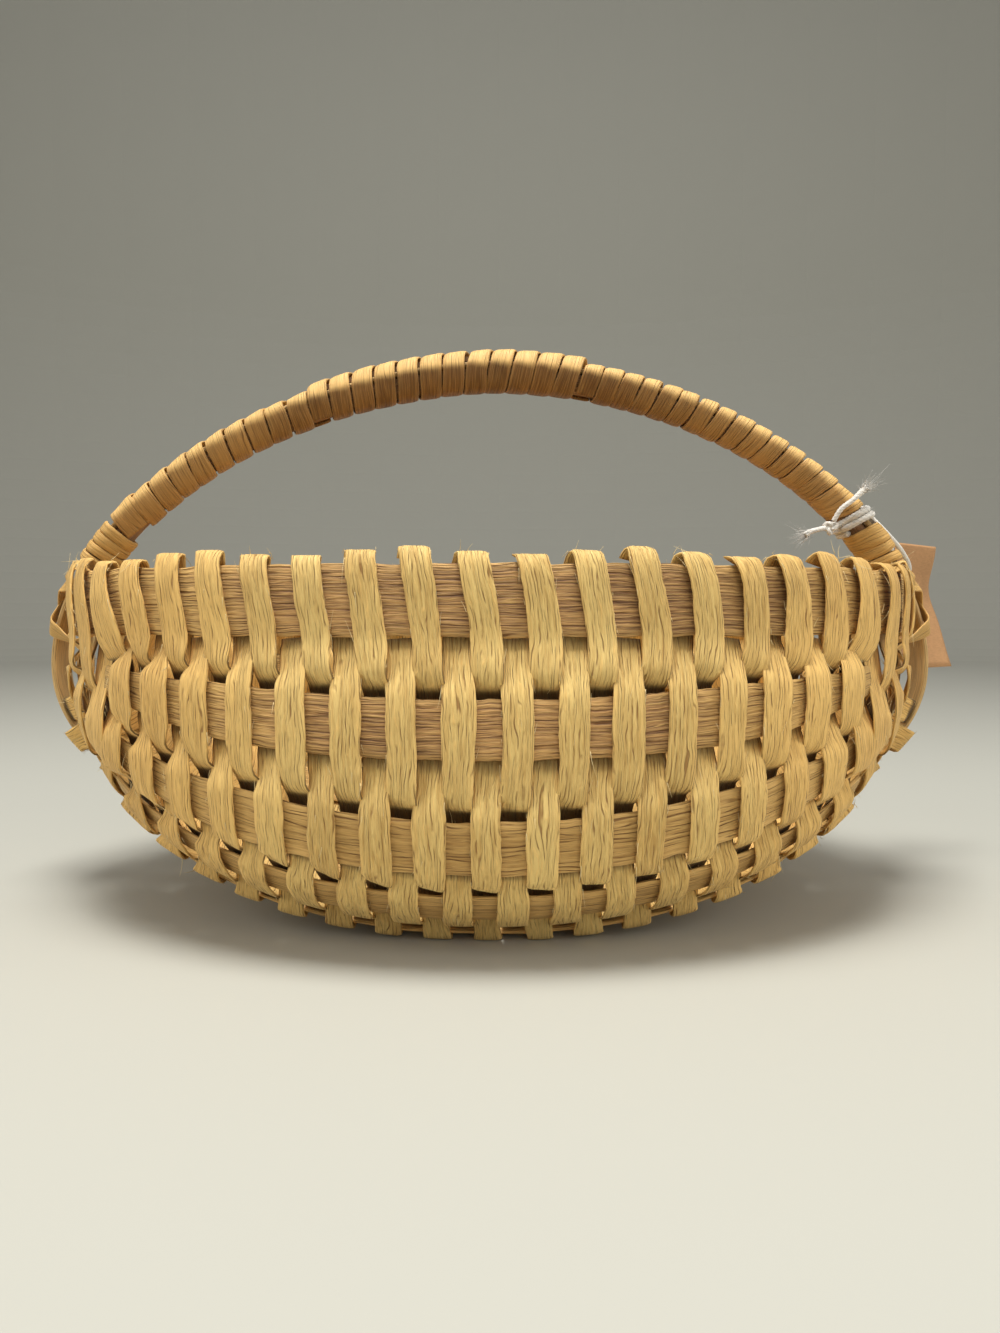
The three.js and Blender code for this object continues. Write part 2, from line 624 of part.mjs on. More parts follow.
function lanePath(k) {
  const full = Math.abs(k) <= LAST_FULL_LANE;
  const isWide = Math.abs(k) < LAST_FULL_LANE;
  const crossed = full ? [0, 1, 2, 3, 4, 5, 6, 7, 8, 9, 10, 11, 12] : [0, 2, 4, 6, 8, 10, 12];
  const outsideFirst = k % 2 === 0 ? 1 : -1;
  const stations = [];
  crossed.forEach((j, order) => {
    const side = outsideFirst * (order % 2 === 0 ? 1 : -1);
    const here = [];
    if (j !== 0) here.push(crossing(j, k, -1, side, isWide));
    if (j !== 12) here.push(crossing(j, k, 1, side, isWide));
    here.forEach((station) => { station.side = side; });
    if (order > 0 && isWide) {
      // in a short gap between two ribs the squeeze reaches over their edges
      const before = stations[stations.length - 1];
      const room = clamp((before.point.distanceTo(here[0].point) - 5) / 7, 0, 1);
      before.width = mix(WEAVER_WAIST - 0.2, before.width, room);
      here[0].width = mix(WEAVER_WAIST - 0.2, here[0].width, room);
      stations.push({
        point: before.point.clone().lerp(here[0].point, 0.5),
        normal: before.normal.clone().add(here[0].normal).normalize(),
        width: mix(WEAVER_WAIST - 0.5, WEAVER_WAIST, room),
        side: 0,
      });
    }
    stations.push(...here);
  });
  return stations;
}

function weaver(name, firstLane, lastLane, colour) {
  let stations = [];
  for (let k = firstLane; k <= lastLane; k++) {
    const forward = lanePath(k);
    const frontToBack = k % 2 === 0;
    if (!frontToBack) forward.reverse();
    // the flat side keeps looking to the same side of the splint after each turn
    const flip = frontToBack ? 1 : -1;
    forward.forEach((station) => station.normal.multiplyScalar(flip));
    if (k === firstLane && firstLane > -LAST_LANE) {
      stations.push(...rimTurn(frontToBack ? 0 : 12, k - 1, k));
    }
    stations.push(...forward);
    if (k < lastLane) {
      stations.push(...rimTurn(frontToBack ? 12 : 0, k, k + 1));
    }
  }
  // normals follow on from station to station without a jump
  for (let i = 1; i < stations.length; i++) {
    if (stations[i].normal.dot(stations[i - 1].normal) < -0.2) stations[i].normal.negate();
  }
  const points = stations.map((station) => station.point);
  const normals = stations.map((station) => station.normal);
  const sections = stations.map((station) => flat(WEAVER_THICKNESS, station.width));
  addPiece(name, sweep(points, normals, sections), colour);
}

{
  let number = 1;
  for (let k = -LAST_LANE; k <= LAST_LANE; k += LANES_PER_SPLINT) {
    let last = k + LANES_PER_SPLINT - 1;
    if (last + 1 >= LAST_LANE) last = LAST_LANE;
    const name = `weaver_${String(number).padStart(2, '0')}`;
    weaver(name, k, last, WEAVER_COLOURS[number % WEAVER_COLOURS.length]);
    number += 1;
    if (last === LAST_LANE) break;
  }
}

// Tag string: two turns round the bare neck of the right side, a knot and two short ends
function tube(path, diameterAt, sides = 8) {
  const normals = [];
  let normal = V(0, 0, 1);
  path.forEach((point, i) => {
    const before = path[Math.max(i - 1, 0)];
    const after = path[Math.min(i + 1, path.length - 1)];
    const along = after.clone().sub(before).normalize();
    if (i === 0 && Math.abs(along.z) > 0.9) normal = V(1, 0, 0);
    normal = normal.clone().addScaledVector(along, -normal.dot(along)).normalize();
    normals.push(normal);
  });
  const sections = path.map((point, i) => round(diameterAt(i / (path.length - 1)), sides));
  return sweep(path, normals, sections);
}
const smooth = (points, steps) => new THREE.CatmullRomCurve3(points).getPoints(steps);

const stringAt = firstNeck + neckLength + STRING_AFTER_NECK;
const beside = (s, n, w) => bow.at(s).addScaledVector(bowOutward(s), n).add(V(0, w, 0));
{
  const ring = wrapRing(false, (STRING_DIAMETER - WRAP_THICKNESS) / 2 + 0.1);
  const middleOfRing = (ring[0][0] + ring[4][0]) / 2;
  const tiltOf = (n) => STRING_TILT * (middleOfRing - n) / (ring[4][0] - ring[0][0]);
  const path = [];
  for (let i = 0; i <= STRING_TURNS * ring.length; i++) {
    const [n, w] = ring[i % ring.length];
    const s = stringAt + STRING_PITCH * (i / ring.length - STRING_TURNS / 2) + tiltOf(n);
    path.push(beside(s, n, w));
  }
  const knotSize = 1.5 * STRING_DIAMETER;
  const knotAt = beside(stringAt + 5.6, -12, -8.6);
  const intoKnot = path[path.length - 1].clone().sub(knotAt).setLength(knotSize + FIT);
  path.push(knotAt.clone().add(intoKnot));
  addPiece('tag_string_turns', tube(path, () => STRING_DIAMETER), STRING_COLOUR, 0.9);

  const knot = new THREE.IcosahedronGeometry(knotSize, 2);
  const place = knot.attributes.position;
  for (let i = 0; i < place.count; i++) {
    const p = V(place.getX(i), place.getY(i), place.getZ(i));
    const lump = 1 + 0.1 * Math.sin(p.x * 2.1 + p.y * 1.7) * Math.cos(p.z * 1.9);
    p.multiplyScalar(lump);
    place.setXYZ(i, p.x + knotAt.x, p.y + knotAt.y, p.z + knotAt.z);
  }
  addPiece('tag_string_knot', knot, STRING_COLOUR, 0.9);

  const fray = (f) => STRING_DIAMETER * (1 + 0.7 * Math.max(0, f - 0.6));
  const fromKnot = (x, y, z) => knotAt.clone().add(V(x, y, z));
  const upper = [fromKnot(0.8, -1.2, 2.7), fromKnot(3.2, -2.4, 6.6), fromKnot(7.2, -3, 9.8), fromKnot(12.2, -2.8, 14.4)];
  addPiece('tag_string_end_up', tube(smooth(upper, 10), fray), STRING_COLOUR, 0.9);
  const lower = [fromKnot(-2.8, -1.1, -0.2), fromKnot(-5.6, -2.2, -1), fromKnot(-7.8, -2.6, -1.6),
    fromKnot(-10, -2.4, -3)];
  addPiece('tag_string_end_low', tube(smooth(lower, 8), fray), STRING_COLOUR, 0.9);
}

// Hanging tag: a bare card on a doubled string, leaning on the outside of the ear
{
  const hole = V(...TAG_HOLE_AT);
  const across = V(Math.cos(TAG_TURN), Math.sin(TAG_TURN), 0);
  const face = V(Math.sin(TAG_TURN), -Math.cos(TAG_TURN), 0);
  const outline = new THREE.Shape();
  outline.moveTo(-TAG_HOLE_IN, TAG_HOLE_DOWN - TAG_HEIGHT);
  outline.lineTo(TAG_WIDTH - TAG_HOLE_IN, TAG_HOLE_DOWN - TAG_HEIGHT);
  outline.lineTo(TAG_WIDTH - TAG_HOLE_IN, TAG_HOLE_DOWN);
  outline.lineTo(-TAG_HOLE_IN, TAG_HOLE_DOWN);
  outline.closePath();
  const eye = new THREE.Path();
  eye.absarc(0, 0, TAG_HOLE / 2, 0, 2 * Math.PI, true);
  outline.holes.push(eye);
  const card = new THREE.ExtrudeGeometry(outline, { depth: TAG_THICKNESS, bevelEnabled: false, curveSegments: 16 });
  card.translate(0, 0, -TAG_THICKNESS / 2);
  const turn = new THREE.Matrix4().makeBasis(across, V(0, 0, 1), face);
  card.applyMatrix4(turn);
  card.translate(hole.x, hole.y, hole.z);
  addPiece('hang_tag', card, TAG_COLOUR, 0.85);

  // both ends sit against the turns on the neck, and the tag swings about them
  const near = stringAt - 3.9;
  const loop = [
    beside(near, 4.5, -3.2),
    beside(near - 8, 5, -1.6),
    hole.clone().add(V(-4.6, -12.5, 9)),
    hole.clone().addScaledVector(face, 3.4).add(V(-0.8, -0.6, 2.6)),
    hole.clone().addScaledVector(face, 1.6),
    hole.clone().addScaledVector(face, -1.6),
    hole.clone().addScaledVector(face, -3.2).add(V(-0.8, -0.6, 2.6)),
    hole.clone().add(V(-7, -7.5, 9.6)),
    beside(near - 8, 5.4, 3),
    beside(near, 4.5, 1.6),
  ];
  const pivot = beside(near, 4.5, 0);
  console.log('tag swings about', pivot.x.toFixed(2), pivot.z.toFixed(2));
  addPiece('tag_loop', tube(smooth(loop, 30), () => STRING_DIAMETER), STRING_COLOUR, 0.9);
}

export default group;
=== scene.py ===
"""Splint egg basket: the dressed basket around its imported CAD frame.

Every splint is a flat section carried along a path. The paths are worked out from the
same ribs, lanes and turns as the frame, so each strip lies where its CAD solid lies, with
rounded edges, fibres, loose hairs and a finish of its own.
"""

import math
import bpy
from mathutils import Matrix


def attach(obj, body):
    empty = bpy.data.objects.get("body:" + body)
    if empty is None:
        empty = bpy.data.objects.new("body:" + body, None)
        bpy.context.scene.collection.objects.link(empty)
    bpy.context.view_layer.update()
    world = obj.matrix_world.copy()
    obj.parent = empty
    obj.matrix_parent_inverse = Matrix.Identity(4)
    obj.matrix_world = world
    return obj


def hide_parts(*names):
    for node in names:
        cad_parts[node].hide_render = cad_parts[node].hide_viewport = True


bl_info = {
    "name": "Splint egg basket",
    "version": (1, 0, 0),
    "blender": (4, 5, 0),
    "location": "3D View > Sidebar > Basket",
    "description": "Builds a woven splint egg basket with a wrapped handle and a card tag",
    "category": "Object",
}

from functools import partial

import bpy
import numpy as np

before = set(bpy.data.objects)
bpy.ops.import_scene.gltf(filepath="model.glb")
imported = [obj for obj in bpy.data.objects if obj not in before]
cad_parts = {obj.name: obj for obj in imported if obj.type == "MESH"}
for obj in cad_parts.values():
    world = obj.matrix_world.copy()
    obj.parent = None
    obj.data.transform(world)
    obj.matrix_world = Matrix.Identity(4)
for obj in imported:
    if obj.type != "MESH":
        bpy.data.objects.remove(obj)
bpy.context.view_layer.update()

# Basket body, in metres, as the frame has it
RIM_HALF_LENGTH = 0.150
RIM_HALF_DEPTH = 0.103
RIM_LEVEL = 0.1075
RIM_HEIGHT = 0.0205
RIM_THICKNESS = 0.0025
RIB_WIDTH = 0.017
RIB_END_WIDTH = 0.007
SHORT_RIB_WIDER = 0.0015
RIB_THICKNESS = 0.0018
EAR_LEVEL = 0.099
HOOP_HALF_LENGTH = 0.163
HOOP_WAIST = 0.085
HOOP_TOP = 0.196
KEEL_LEVEL = 0.014
HOOP_WIDTH = 0.015
HOOP_THICKNESS = 0.0024
BOW_FULLNESS = 1.85
BOW_LEAN = 0.00355
KEEL_FULLNESS = 2.15
EAR_SPREAD = 0.012
FIT = 0.00035

# Weave: lanes are counted from the middle one, the share is that of half a rib. A swell is by
# how much further a weaver stands off at the ears
LANE = 0.0394
LANE_STRAY = 0.0011
LAST_LANE = 22
LAST_FULL_LANE = 16
EAR_ZONE = 0.6
EAR_ZONE_STEP = 0.011
CROSSING_STRAY = 0.0028
RIM_LEAN = 0.42
LANES_PER_SPLINT = 4
TURN_RISE = 0.0032
TURN_STRAY = 0.0012
TURN_CLEAR = 0.00035
EDGE_CLEAR = 0.0006
EAR_CLEAR = 0.0009
RIB_SWELL = 0.0019
KEEL_SWELL = 0.0007
WEAVER_THICKNESS = 0.0011
SHORT_END = LANE * LAST_FULL_LANE + 0.024
LONG_END = 0.915

# Widths of the lanes. Before the last full one they get wider by EAR_WIDER towards the ears, to
# MOST_IN_STEPS times the step between two lanes. From there on they are EAR_IN_STEPS steps
# wide, at least LEAST_EAR_WIDTH, and wider by FAN_WIDER next to the last full one
EAR_WIDER = 0.38
MOST_IN_STEPS = 1.7
EAR_IN_STEPS = 1.45
LEAST_EAR_WIDTH = 0.0086
FAN_WIDER = 0.5

# Ramps, as start and length: the share from which on the flat side of a member turns to its
# neighbours, the gap between two ribs from which on a splint keeps more of its width, the one
# from which on it hangs out, and the level from which on it is turned
FACING = (0.45, 0.3)
SQUEEZED = (0.005, 0.007)
HANGING = (0.008, 0.008)
TURNED = (0.012, 0.02)

# How the weave hangs over a rib that it goes behind, dips in there, is turned like shingles
# and gets painted shade where it goes behind a rib, comes out below one or passes its
# neighbours, and how high its middle is where it rests
BELLY = 0.0012
DIP = 0.0020
SHINGLE = 0.2
NEIGHBOUR_SHADE = 0.8
BELOW_RIB_SHADE = 0.72
LOWEST_MIDDLE = 0.0007

# Loose fibres: none start below the first level. More start on the turns over the rim, which
# are above the second, RIM_HAIRS more for each one elsewhere, and a share on the cut edges.
# The lengths are the shortest and the longest one
HAIRLESS_BELOW = 0.012
RIM_TURNS_ABOVE = 0.119
RIM_HAIRS = 4.0
EDGE_HAIRS = 0.7
HAIR_LENGTHS = (0.0012, 0.0085)

# Handle and its windings: a wrap is (pitch, width, slack)
CORE_WIDTH = 0.013
CORE_FOOT = 0.0068
CORE_THICKNESS = 0.0046
CORE_SWELL = 0.001
OVERLAY_WIDTH = 0.011
OVERLAY_THICKNESS = 0.0016
OVERLAY_RIGHT_X = 0.032
OVERLAY_LEFT_X = -0.066
WRAP_THICKNESS = 0.0011
WRAP_CLEAR = 0.00025
LEFT_WRAP = (0.0079, 0.0068, 0.0)
MIDDLE_WRAP = (0.0081, 0.0070, 0.0)
RIGHT_WRAP = (0.0070, 0.0060, 0.0)
NECK_WRAP = (0.0043, 0.0034, 0.00025)
NECK_TURNS = 4
NECK_START = RIM_LEVEL + RIM_HEIGHT / 2 + 0.002
BARE_NECK = 0.0088
WINDING_GAP = 0.0008
BEFORE_OVERLAY = 0.0034
LASHING_WIDTH = 0.0056
LASHING_THICKNESS = 0.0008

# String and tag. The knot is so far along the hoop from the turns, outwards and along Y
STRING_DIAMETER = 0.0018
STRING_LOFT = 1.35
STRING_PITCH = 0.0025
STRING_TURNS = 2
STRING_TILT = 0.0014
STRING_AFTER_NECK = 0.0043
KNOT = (0.0056, -0.012, -0.0086)
KNOT_SIZE = 0.0007
KNOT_STRING = 0.0017
TAG_SIZE = (0.038, 0.050)
TAG_THICKNESS = 0.0007
TAG_HOLE = 0.005
TAG_HOLE_IN = 0.006
TAG_HOLE_DOWN = 0.014
TAG_HOLE_AT = np.array([0.1643, 0.0207, 0.118])
TAG_TURN = math.radians(44)
TAG_ACROSS = np.array([math.cos(TAG_TURN), math.sin(TAG_TURN), 0])
TAG_FACE = np.array([math.sin(TAG_TURN), -math.cos(TAG_TURN), 0])

# Members are counted from the front rim over the keel to the back rim. RING is the number of
# stations of a closed strip, PLACES that of a turn round the handle
RIM, KEEL, BACK_RIM = 0, 6, 12
RING = 360
PLACES = 8
UV = "Splint"


# Small helpers: arrays of vectors have the three components last

def unit(v):
    """Vectors divided by their own length."""
    return v / np.clip(np.linalg.norm(v, axis=-1, keepdims=True), 1e-12, None)


def dot(a, b):
    """Products of matching vectors, kept as a last axis of one."""
    return np.sum(a * b, axis=-1, keepdims=True)


def mix(a, b, share):
    """The value that lies at share between a and b."""
    return a + (b - a) * share


def ramp(x, start, length):
    """0 up to start, 1 from start + length on, straight in between."""
    return np.clip((x - start) / length, 0, 1)


def ease(x):
    """Smooth step from 0 to 1: 3x squared minus 2x cubed."""
    x = np.clip(x, 0, 1)
    return x * x * (3 - 2 * x)


def linear(code):
    """An sRGB hex code as linear red, green and blue."""
    c = np.array([int(code[i:i + 2], 16) for i in (1, 3, 5)]) / 255
    return tuple(float(v) for v in np.where(c <= 0.04045, c / 12.92, ((c + 0.055) / 1.055) ** 2.4))


def wobble(s, seed, wave, size, parts=5):
    """A smooth irregular line: a sum of sines whose wavelengths lie around wave."""
    rng = np.random.default_rng(seed)
    lengths = wave * rng.uniform(0.45, 2.2, parts)
    phases = rng.uniform(0, 2 * np.pi, parts)
    total = np.sin(2 * np.pi * np.asarray(s)[..., None] / lengths + phases).sum(-1)
    return size * total / math.sqrt(parts)


def path_length(path):
    """Length run along a path, one value a station."""
    return np.concatenate([[0], np.cumsum(np.linalg.norm(np.diff(path, axis=0), axis=1))])


# The curves of the basket

def pace_table():
    """Equal steps along the rim's own length, and x there: x = a sin t, y = b cos t."""
    t = np.linspace(-1, 1, 481) * np.pi / 2
    x = RIM_HALF_LENGTH * np.sin(t)
    run = path_length(np.stack([x, RIM_HALF_DEPTH * np.cos(t)], -1))
    return run / run[-1] * 2 - 1, x


def member_table():
    """Depth, level, level at the ears, fullness and lean of the thirteen lengthwise members."""
    lobe_level = RIB_THICKNESS / 2 + FIT + WEAVER_THICKNESS
    front = np.array([
        (-RIM_HALF_DEPTH, RIM_LEVEL, RIM_LEVEL, 2.0, -90),
        (-0.1055, 0.0715, EAR_LEVEL, 2.0, -90),
        (-0.102, 0.0375, EAR_LEVEL, 2.0, -74),
        (-0.085, 0.0158, EAR_LEVEL, 2.1, -38),
        (-0.058, lobe_level, EAR_LEVEL, 2.15, 0),
        (-0.031, 0.0056, EAR_LEVEL, 2.15, 13),
    ])
    keel = np.array([(0, KEEL_LEVEL, HOOP_WAIST, KEEL_FULLNESS, 0)])
    return np.concatenate([front, keel, front[::-1] * (-1, 1, 1, 1, -1)])


PACE = pace_table()
MEMBER = member_table()
SIDE_THICKNESS = [RIM_THICKNESS] + [RIB_THICKNESS] * 5
THICKNESS = np.array(SIDE_THICKNESS + [HOOP_THICKNESS] + SIDE_THICKNESS[::-1])


def member_point(j, u):
    """Place at share u of member j. x follows the pace of the rim; depth and level follow
    g = (1 - |x/half|^n)^(1/n). Towards the ears the keel runs a little further out."""
    j, u = np.broadcast_arrays(j, np.asarray(u, float))
    depth, level, end, fullness = (MEMBER[j, c] for c in range(4))
    keel = j == KEEL
    beyond = np.clip((np.abs(u) - EAR_ZONE) / 0.27, 0, 1.15)
    x = np.interp(u, *PACE) + np.where(keel, np.sign(u) * EAR_SPREAD * beyond ** 1.6, 0)
    half = np.where(keel, HOOP_HALF_LENGTH, RIM_HALF_LENGTH)
    g = np.clip(1 - np.abs(x / half) ** fullness, 0, None) ** (1 / fullness)
    return np.stack([x, depth * g, mix(end, level, g)], -1)


def member_width(j, u):
    """Width of a member: the rim and the keel keep theirs, the ribs are whittled to the ears."""
    j, u = np.broadcast_arrays(j, np.asarray(u, float))
    share = np.clip(np.cos(np.abs(u) * np.pi / 2 * 0.93) * 1.16, 0, None)
    rib = RIB_WIDTH * np.minimum(1, share ** 1.5)
    rib = np.maximum(rib, RIB_END_WIDTH + np.where(j % 2 == 0, 0, SHORT_RIB_WIDER))
    return np.where(j == KEEL, HOOP_WIDTH, np.where(j % BACK_RIM == 0, RIM_HEIGHT, rib))


def member_frame(j, u):
    """Place, across and outward look of member j at u. The flat side leans by the member's
    own angle, and turns towards its neighbours near the ears."""
    j, u = np.broadcast_arrays(j, np.asarray(u, float))
    before, after = (member_point(j, np.clip(u + step, -0.99, 0.99)) for step in (-0.004, 0.004))
    along = unit(after - before)
    lean = np.radians(MEMBER[j, 4])
    across = np.stack([np.zeros_like(lean), np.cos(lean), np.sin(lean)], -1)
    step = np.where((j % 2 == 0) & (np.abs(u) > SHORT_END), 2, 1)
    below, above = (member_point(np.clip(j + way * step, RIM, BACK_RIM), u) for way in (-1, 1))
    blend = np.where(j % KEEL == 0, 0, ramp(np.abs(u), *FACING))[..., None]
    across = mix(across, unit(above - below), blend)
    across = unit(across - along * dot(across, along))
    return member_point(j, u), across, np.cross(across, along)


def bow_point(angle):
    """Closed hoop: angle 0 is the keel, a quarter turn the right ear, half a turn the top.
    g = |cos|^(2/n) is the height from the waist, x = half |sin|^(2/n), and the handle leans
    to the right by g squared."""
    upper = np.abs(angle) > np.pi / 2
    power = 2 / np.where(upper, BOW_FULLNESS, KEEL_FULLNESS)
    sine, cosine = np.sin(angle), np.abs(np.cos(angle))
    g = cosine ** power
    x = np.sign(sine) * np.abs(sine) ** power * HOOP_HALF_LENGTH
    x = x + np.where(upper, BOW_LEAN * g ** 2, 0)
    z = mix(HOOP_WAIST, np.where(upper, HOOP_TOP, KEEL_LEVEL), g)
    return np.stack([x, np.zeros_like(x), z], -1)


# Half hoop over the handle from the right ear to the left one, with its own length
BOW_POINTS = bow_point(np.pi + np.linspace(-1, 1, 481) * np.pi / 2)
BOW_RUN = path_length(BOW_POINTS)
BOW_LENGTH = BOW_RUN[-1]


def bow_at(s):
    """Place on the hoop at length s from the right ear."""
    return np.stack([np.interp(s, BOW_RUN, BOW_POINTS[:, c]) for c in range(3)], -1)


def bow_outward(s):
    """Outward look of the hoop at length s: Y crossed with the hoop's direction."""
    step = 0.002 * BOW_LENGTH
    along = unit(bow_at(np.asarray(s) + step) - bow_at(np.asarray(s) - step))
    return unit(np.cross(np.array([0.0, 1, 0]), along))


def beside(s, n, w):
    """Point at n outwards and w along Y from the hoop at length s."""
    s = np.asarray(s, float)
    side = np.stack([np.zeros(s.shape), np.broadcast_to(w, s.shape), np.zeros(s.shape)], -1)
    return bow_at(s) + bow_outward(s) * np.asarray(n)[..., None] + side


def bow_length_where(test, backwards=False):
    """Length along the hoop, in quarter millimetre steps from the right ear or backwards from
    the left one, at which the test first holds."""
    s = np.arange(0, BOW_LENGTH, 0.00025)
    s = BOW_LENGTH - s if backwards else s
    return float(s[np.argmax(test(bow_at(s)))])


FIRST_NECK = bow_length_where(lambda p: p[:, 2] >= NECK_START)
LAST_NECK = bow_length_where(lambda p: p[:, 2] >= NECK_START, backwards=True)
NECK_LENGTH = NECK_TURNS * NECK_WRAP[0] + NECK_WRAP[1]
OVERLAY_START = bow_length_where(lambda p: p[:, 0] <= OVERLAY_RIGHT_X)
OVERLAY_END = bow_length_where(lambda p: p[:, 0] <= OVERLAY_LEFT_X)
STRING_AT = FIRST_NECK + NECK_LENGTH + STRING_AFTER_NECK


def core_swell(s):
    """By how much the filler of the handle is thicker at length s: swell * sin^4."""
    return CORE_SWELL * np.sin(np.pi * np.clip(np.asarray(s) / BOW_LENGTH, 0, 1)) ** 4


# Surfaces

def lapped(path):
    """From the place before to the place after each station of a closed path."""
    return np.roll(path, -1, axis=0) - np.roll(path, 1, axis=0)


def follow_stations(points, extras, spacing, tension=0.85):
    """A smooth path through stations: cubic pieces whose end directions are the mean of the
    two legs. The extra values follow with the same smooth share, in steps of about spacing."""
    leg = np.linalg.norm(np.diff(points, axis=0), axis=1)
    way = unit(np.diff(points, axis=0))
    ends = unit(np.concatenate([way[:1], way[:-1] + way[1:], way[-1:]]))
    run = path_length(points)
    s = np.linspace(0, run[-1], max(4, int(run[-1] / spacing)))
    i = np.clip(np.searchsorted(run, s, side="right") - 1, 0, len(leg) - 1)
    t = ((s - run[i]) / leg[i])[:, None]
    reach = (leg[i] * tension)[:, None]
    path = ((2 * t ** 3 - 3 * t ** 2 + 1) * points[i] + (t ** 3 - 2 * t ** 2 + t) * reach * ends[i]
            + (3 * t ** 2 - 2 * t ** 3) * points[i + 1] + (t ** 3 - t ** 2) * reach * ends[i + 1])
    follow = [mix(v[i], v[i + 1], ease(t if v.ndim > 1 else t[:, 0])) for v in extras]
    return path, follow


def splint_section(widths, thickness, crown=0.0, around=12, square=0.42):
    """Rounded flat section at each station: n = t/2 |cos|^p, w = width/2 |sin|^p with p
    below 1 so that the sides are flat, less a crown that falls with w squared."""
    turn = 2 * np.pi * (np.arange(around) + 0.5) / around
    n, w = (np.sign(v) * np.abs(v) ** square for v in (np.cos(turn), np.sin(turn)))
    along_normal = thickness / 2 * n * (1 - 0.25 * w ** 4) - crown * w ** 2
    return np.stack(np.broadcast_arrays(along_normal, widths[:, None] / 2 * w), -1), w


def carried(path, normals, section, closed):
    """A section carried along a path: point + n * normal + w * (direction x normal).
    section is (stations, around, 2). Returns the vertices as (stations, around, 3)."""
    way = unit(lapped(path) if closed else np.gradient(path, axis=0))
    normals = unit(normals - way * dot(normals, way))
    across = np.cross(way, normals)
    return path[:, None] + normals[:, None] * section[..., :1] + across[:, None] * section[..., 1:]


def ring_faces(stations, around, closed=False):
    """Corner indices of the quads between rings of a carried section."""
    i = np.arange(stations if closed else stations - 1)[:, None]
    k = np.arange(around)[None, :]
    i2, k2 = (i + 1) % stations, (k + 1) % around
    quads = np.stack([i * around + k, i * around + k2, i2 * around + k2, i2 * around + k], -1)
    return quads.reshape(-1, 4)


def cap_faces(stations, around):
    """Corner indices of the two ends of an open carried section, as triangle fans."""
    k = np.arange(1, around - 1)
    zero = np.zeros_like(k)
    end_cap = (stations - 1) * around + np.stack([zero, k, k + 1], -1)
    return np.concatenate([np.stack([zero, k + 1, k], -1), end_cap])


def make_piece(name, vertices, quads, triangles, uv, values, look, node=None, body="basket"):
    """Puts whole arrays into a new mesh object in a finish, which rides on a body and stands
    for a CAD node. uv has a row a corner, and values holds point attributes by name."""
    mesh = bpy.data.meshes.new(name)
    corners = np.concatenate([quads.ravel(), triangles.ravel()]).astype(np.int32)
    counts = np.repeat([4, 3], [len(quads), len(triangles)])
    mesh.vertices.add(len(vertices))
    mesh.vertices.foreach_set("co", vertices.astype(np.float32).ravel())
    mesh.loops.add(len(corners))
    mesh.loops.foreach_set("vertex_index", corners)
    mesh.polygons.add(len(counts))
    mesh.polygons.foreach_set("loop_start", (np.cumsum(counts) - counts).astype(np.int32))
    mesh.polygons.foreach_set("use_smooth", np.ones(len(counts), bool))
    mesh.uv_layers.new(name=UV).data.foreach_set("uv", uv.astype(np.float32).ravel())
    for label, value in values.items():
        value = np.broadcast_to(value, len(vertices)).astype(np.float32)
        mesh.attributes.new(label, "FLOAT", "POINT").data.foreach_set("value", value)
    mesh.update(calc_edges=True)
    mesh.validate()
    mesh.materials.append(finish(look))
    piece = bpy.data.objects.new(name, mesh)
    bpy.context.scene.collection.objects.link(piece)
    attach(piece, body)
    if node:
        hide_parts(node)
    return piece


def carried_piece(name, run, look, slot, node, body="basket", closed=False, shift=0.0, **values):
    """A carried strip as a mesh. The run is (path, normals, section, edge, tone), and more
    point values may come as (stations, around). U is the length along the strip and V, which
    starts at shift, the girth around it, both in metres."""
    path, normals, section, edge, tone = run
    rings = carried(path, normals, section, closed)
    stations, around = rings.shape[:2]
    along = path_length(path)
    if closed:
        along = np.append(along, along[-1] + np.linalg.norm(path[0] - path[-1]))
    girth = np.linalg.norm(np.roll(section, -1, axis=1) - section, axis=-1).mean(0)
    girth = np.concatenate([[0], np.cumsum(girth)])
    i, k = np.broadcast_arrays(np.arange(len(along) - 1)[:, None], np.arange(around))
    u0, u1, v0, v1 = along[i], along[i + 1], girth[k] + shift, girth[k + 1] + shift
    uv = np.stack([u0, v0, u0, v1, u1, v1, u1, v0], -1).reshape(-1, 2)
    caps = np.zeros((0, 3), int)
    if not closed:
        caps = cap_faces(stations, around)
        flat = section.reshape(-1, 2)[caps.ravel()]
        flat = np.stack([along[caps.ravel() // around] + flat[:, 0], shift + flat[:, 1]], -1)
        uv = np.concatenate([uv, flat])
    values.update(tone=np.asarray(tone, float).reshape(-1, 1), edge=edge)
    values = {label: np.broadcast_to(value, (stations, around)).ravel()
              for label, value in values.items()}
    return make_piece(name, rings.reshape(-1, 3), ring_faces(stations, around, closed), caps, uv,
                      values, look, node, body)


def splint_run(path, normals, widths, thickness, seed, crown=0.0, fray=0.00012, tone=0.5,
               around=12):
    """One splint: both edges wander on their own and are a little torn, and the section is
    rounded. Returns a run for carried_piece."""
    s = path_length(path)
    rng = np.random.default_rng(seed)
    section, w = splint_section(widths, thickness, crown, around)
    for side in (-1, 1):
        torn = wobble(s, seed * 7 + side, 0.022, fray * 1.5) + rng.normal(0, fray * 0.6, len(s))
        section[:, :, 1] += np.where(np.sign(w) == side, 1, 0) * torn[:, None] * np.abs(w)
    section[:, :, 0] += wobble(s, seed + 5, 0.02, thickness * 0.07)[:, None]
    return path, normals, section, np.abs(w) ** 3, tone


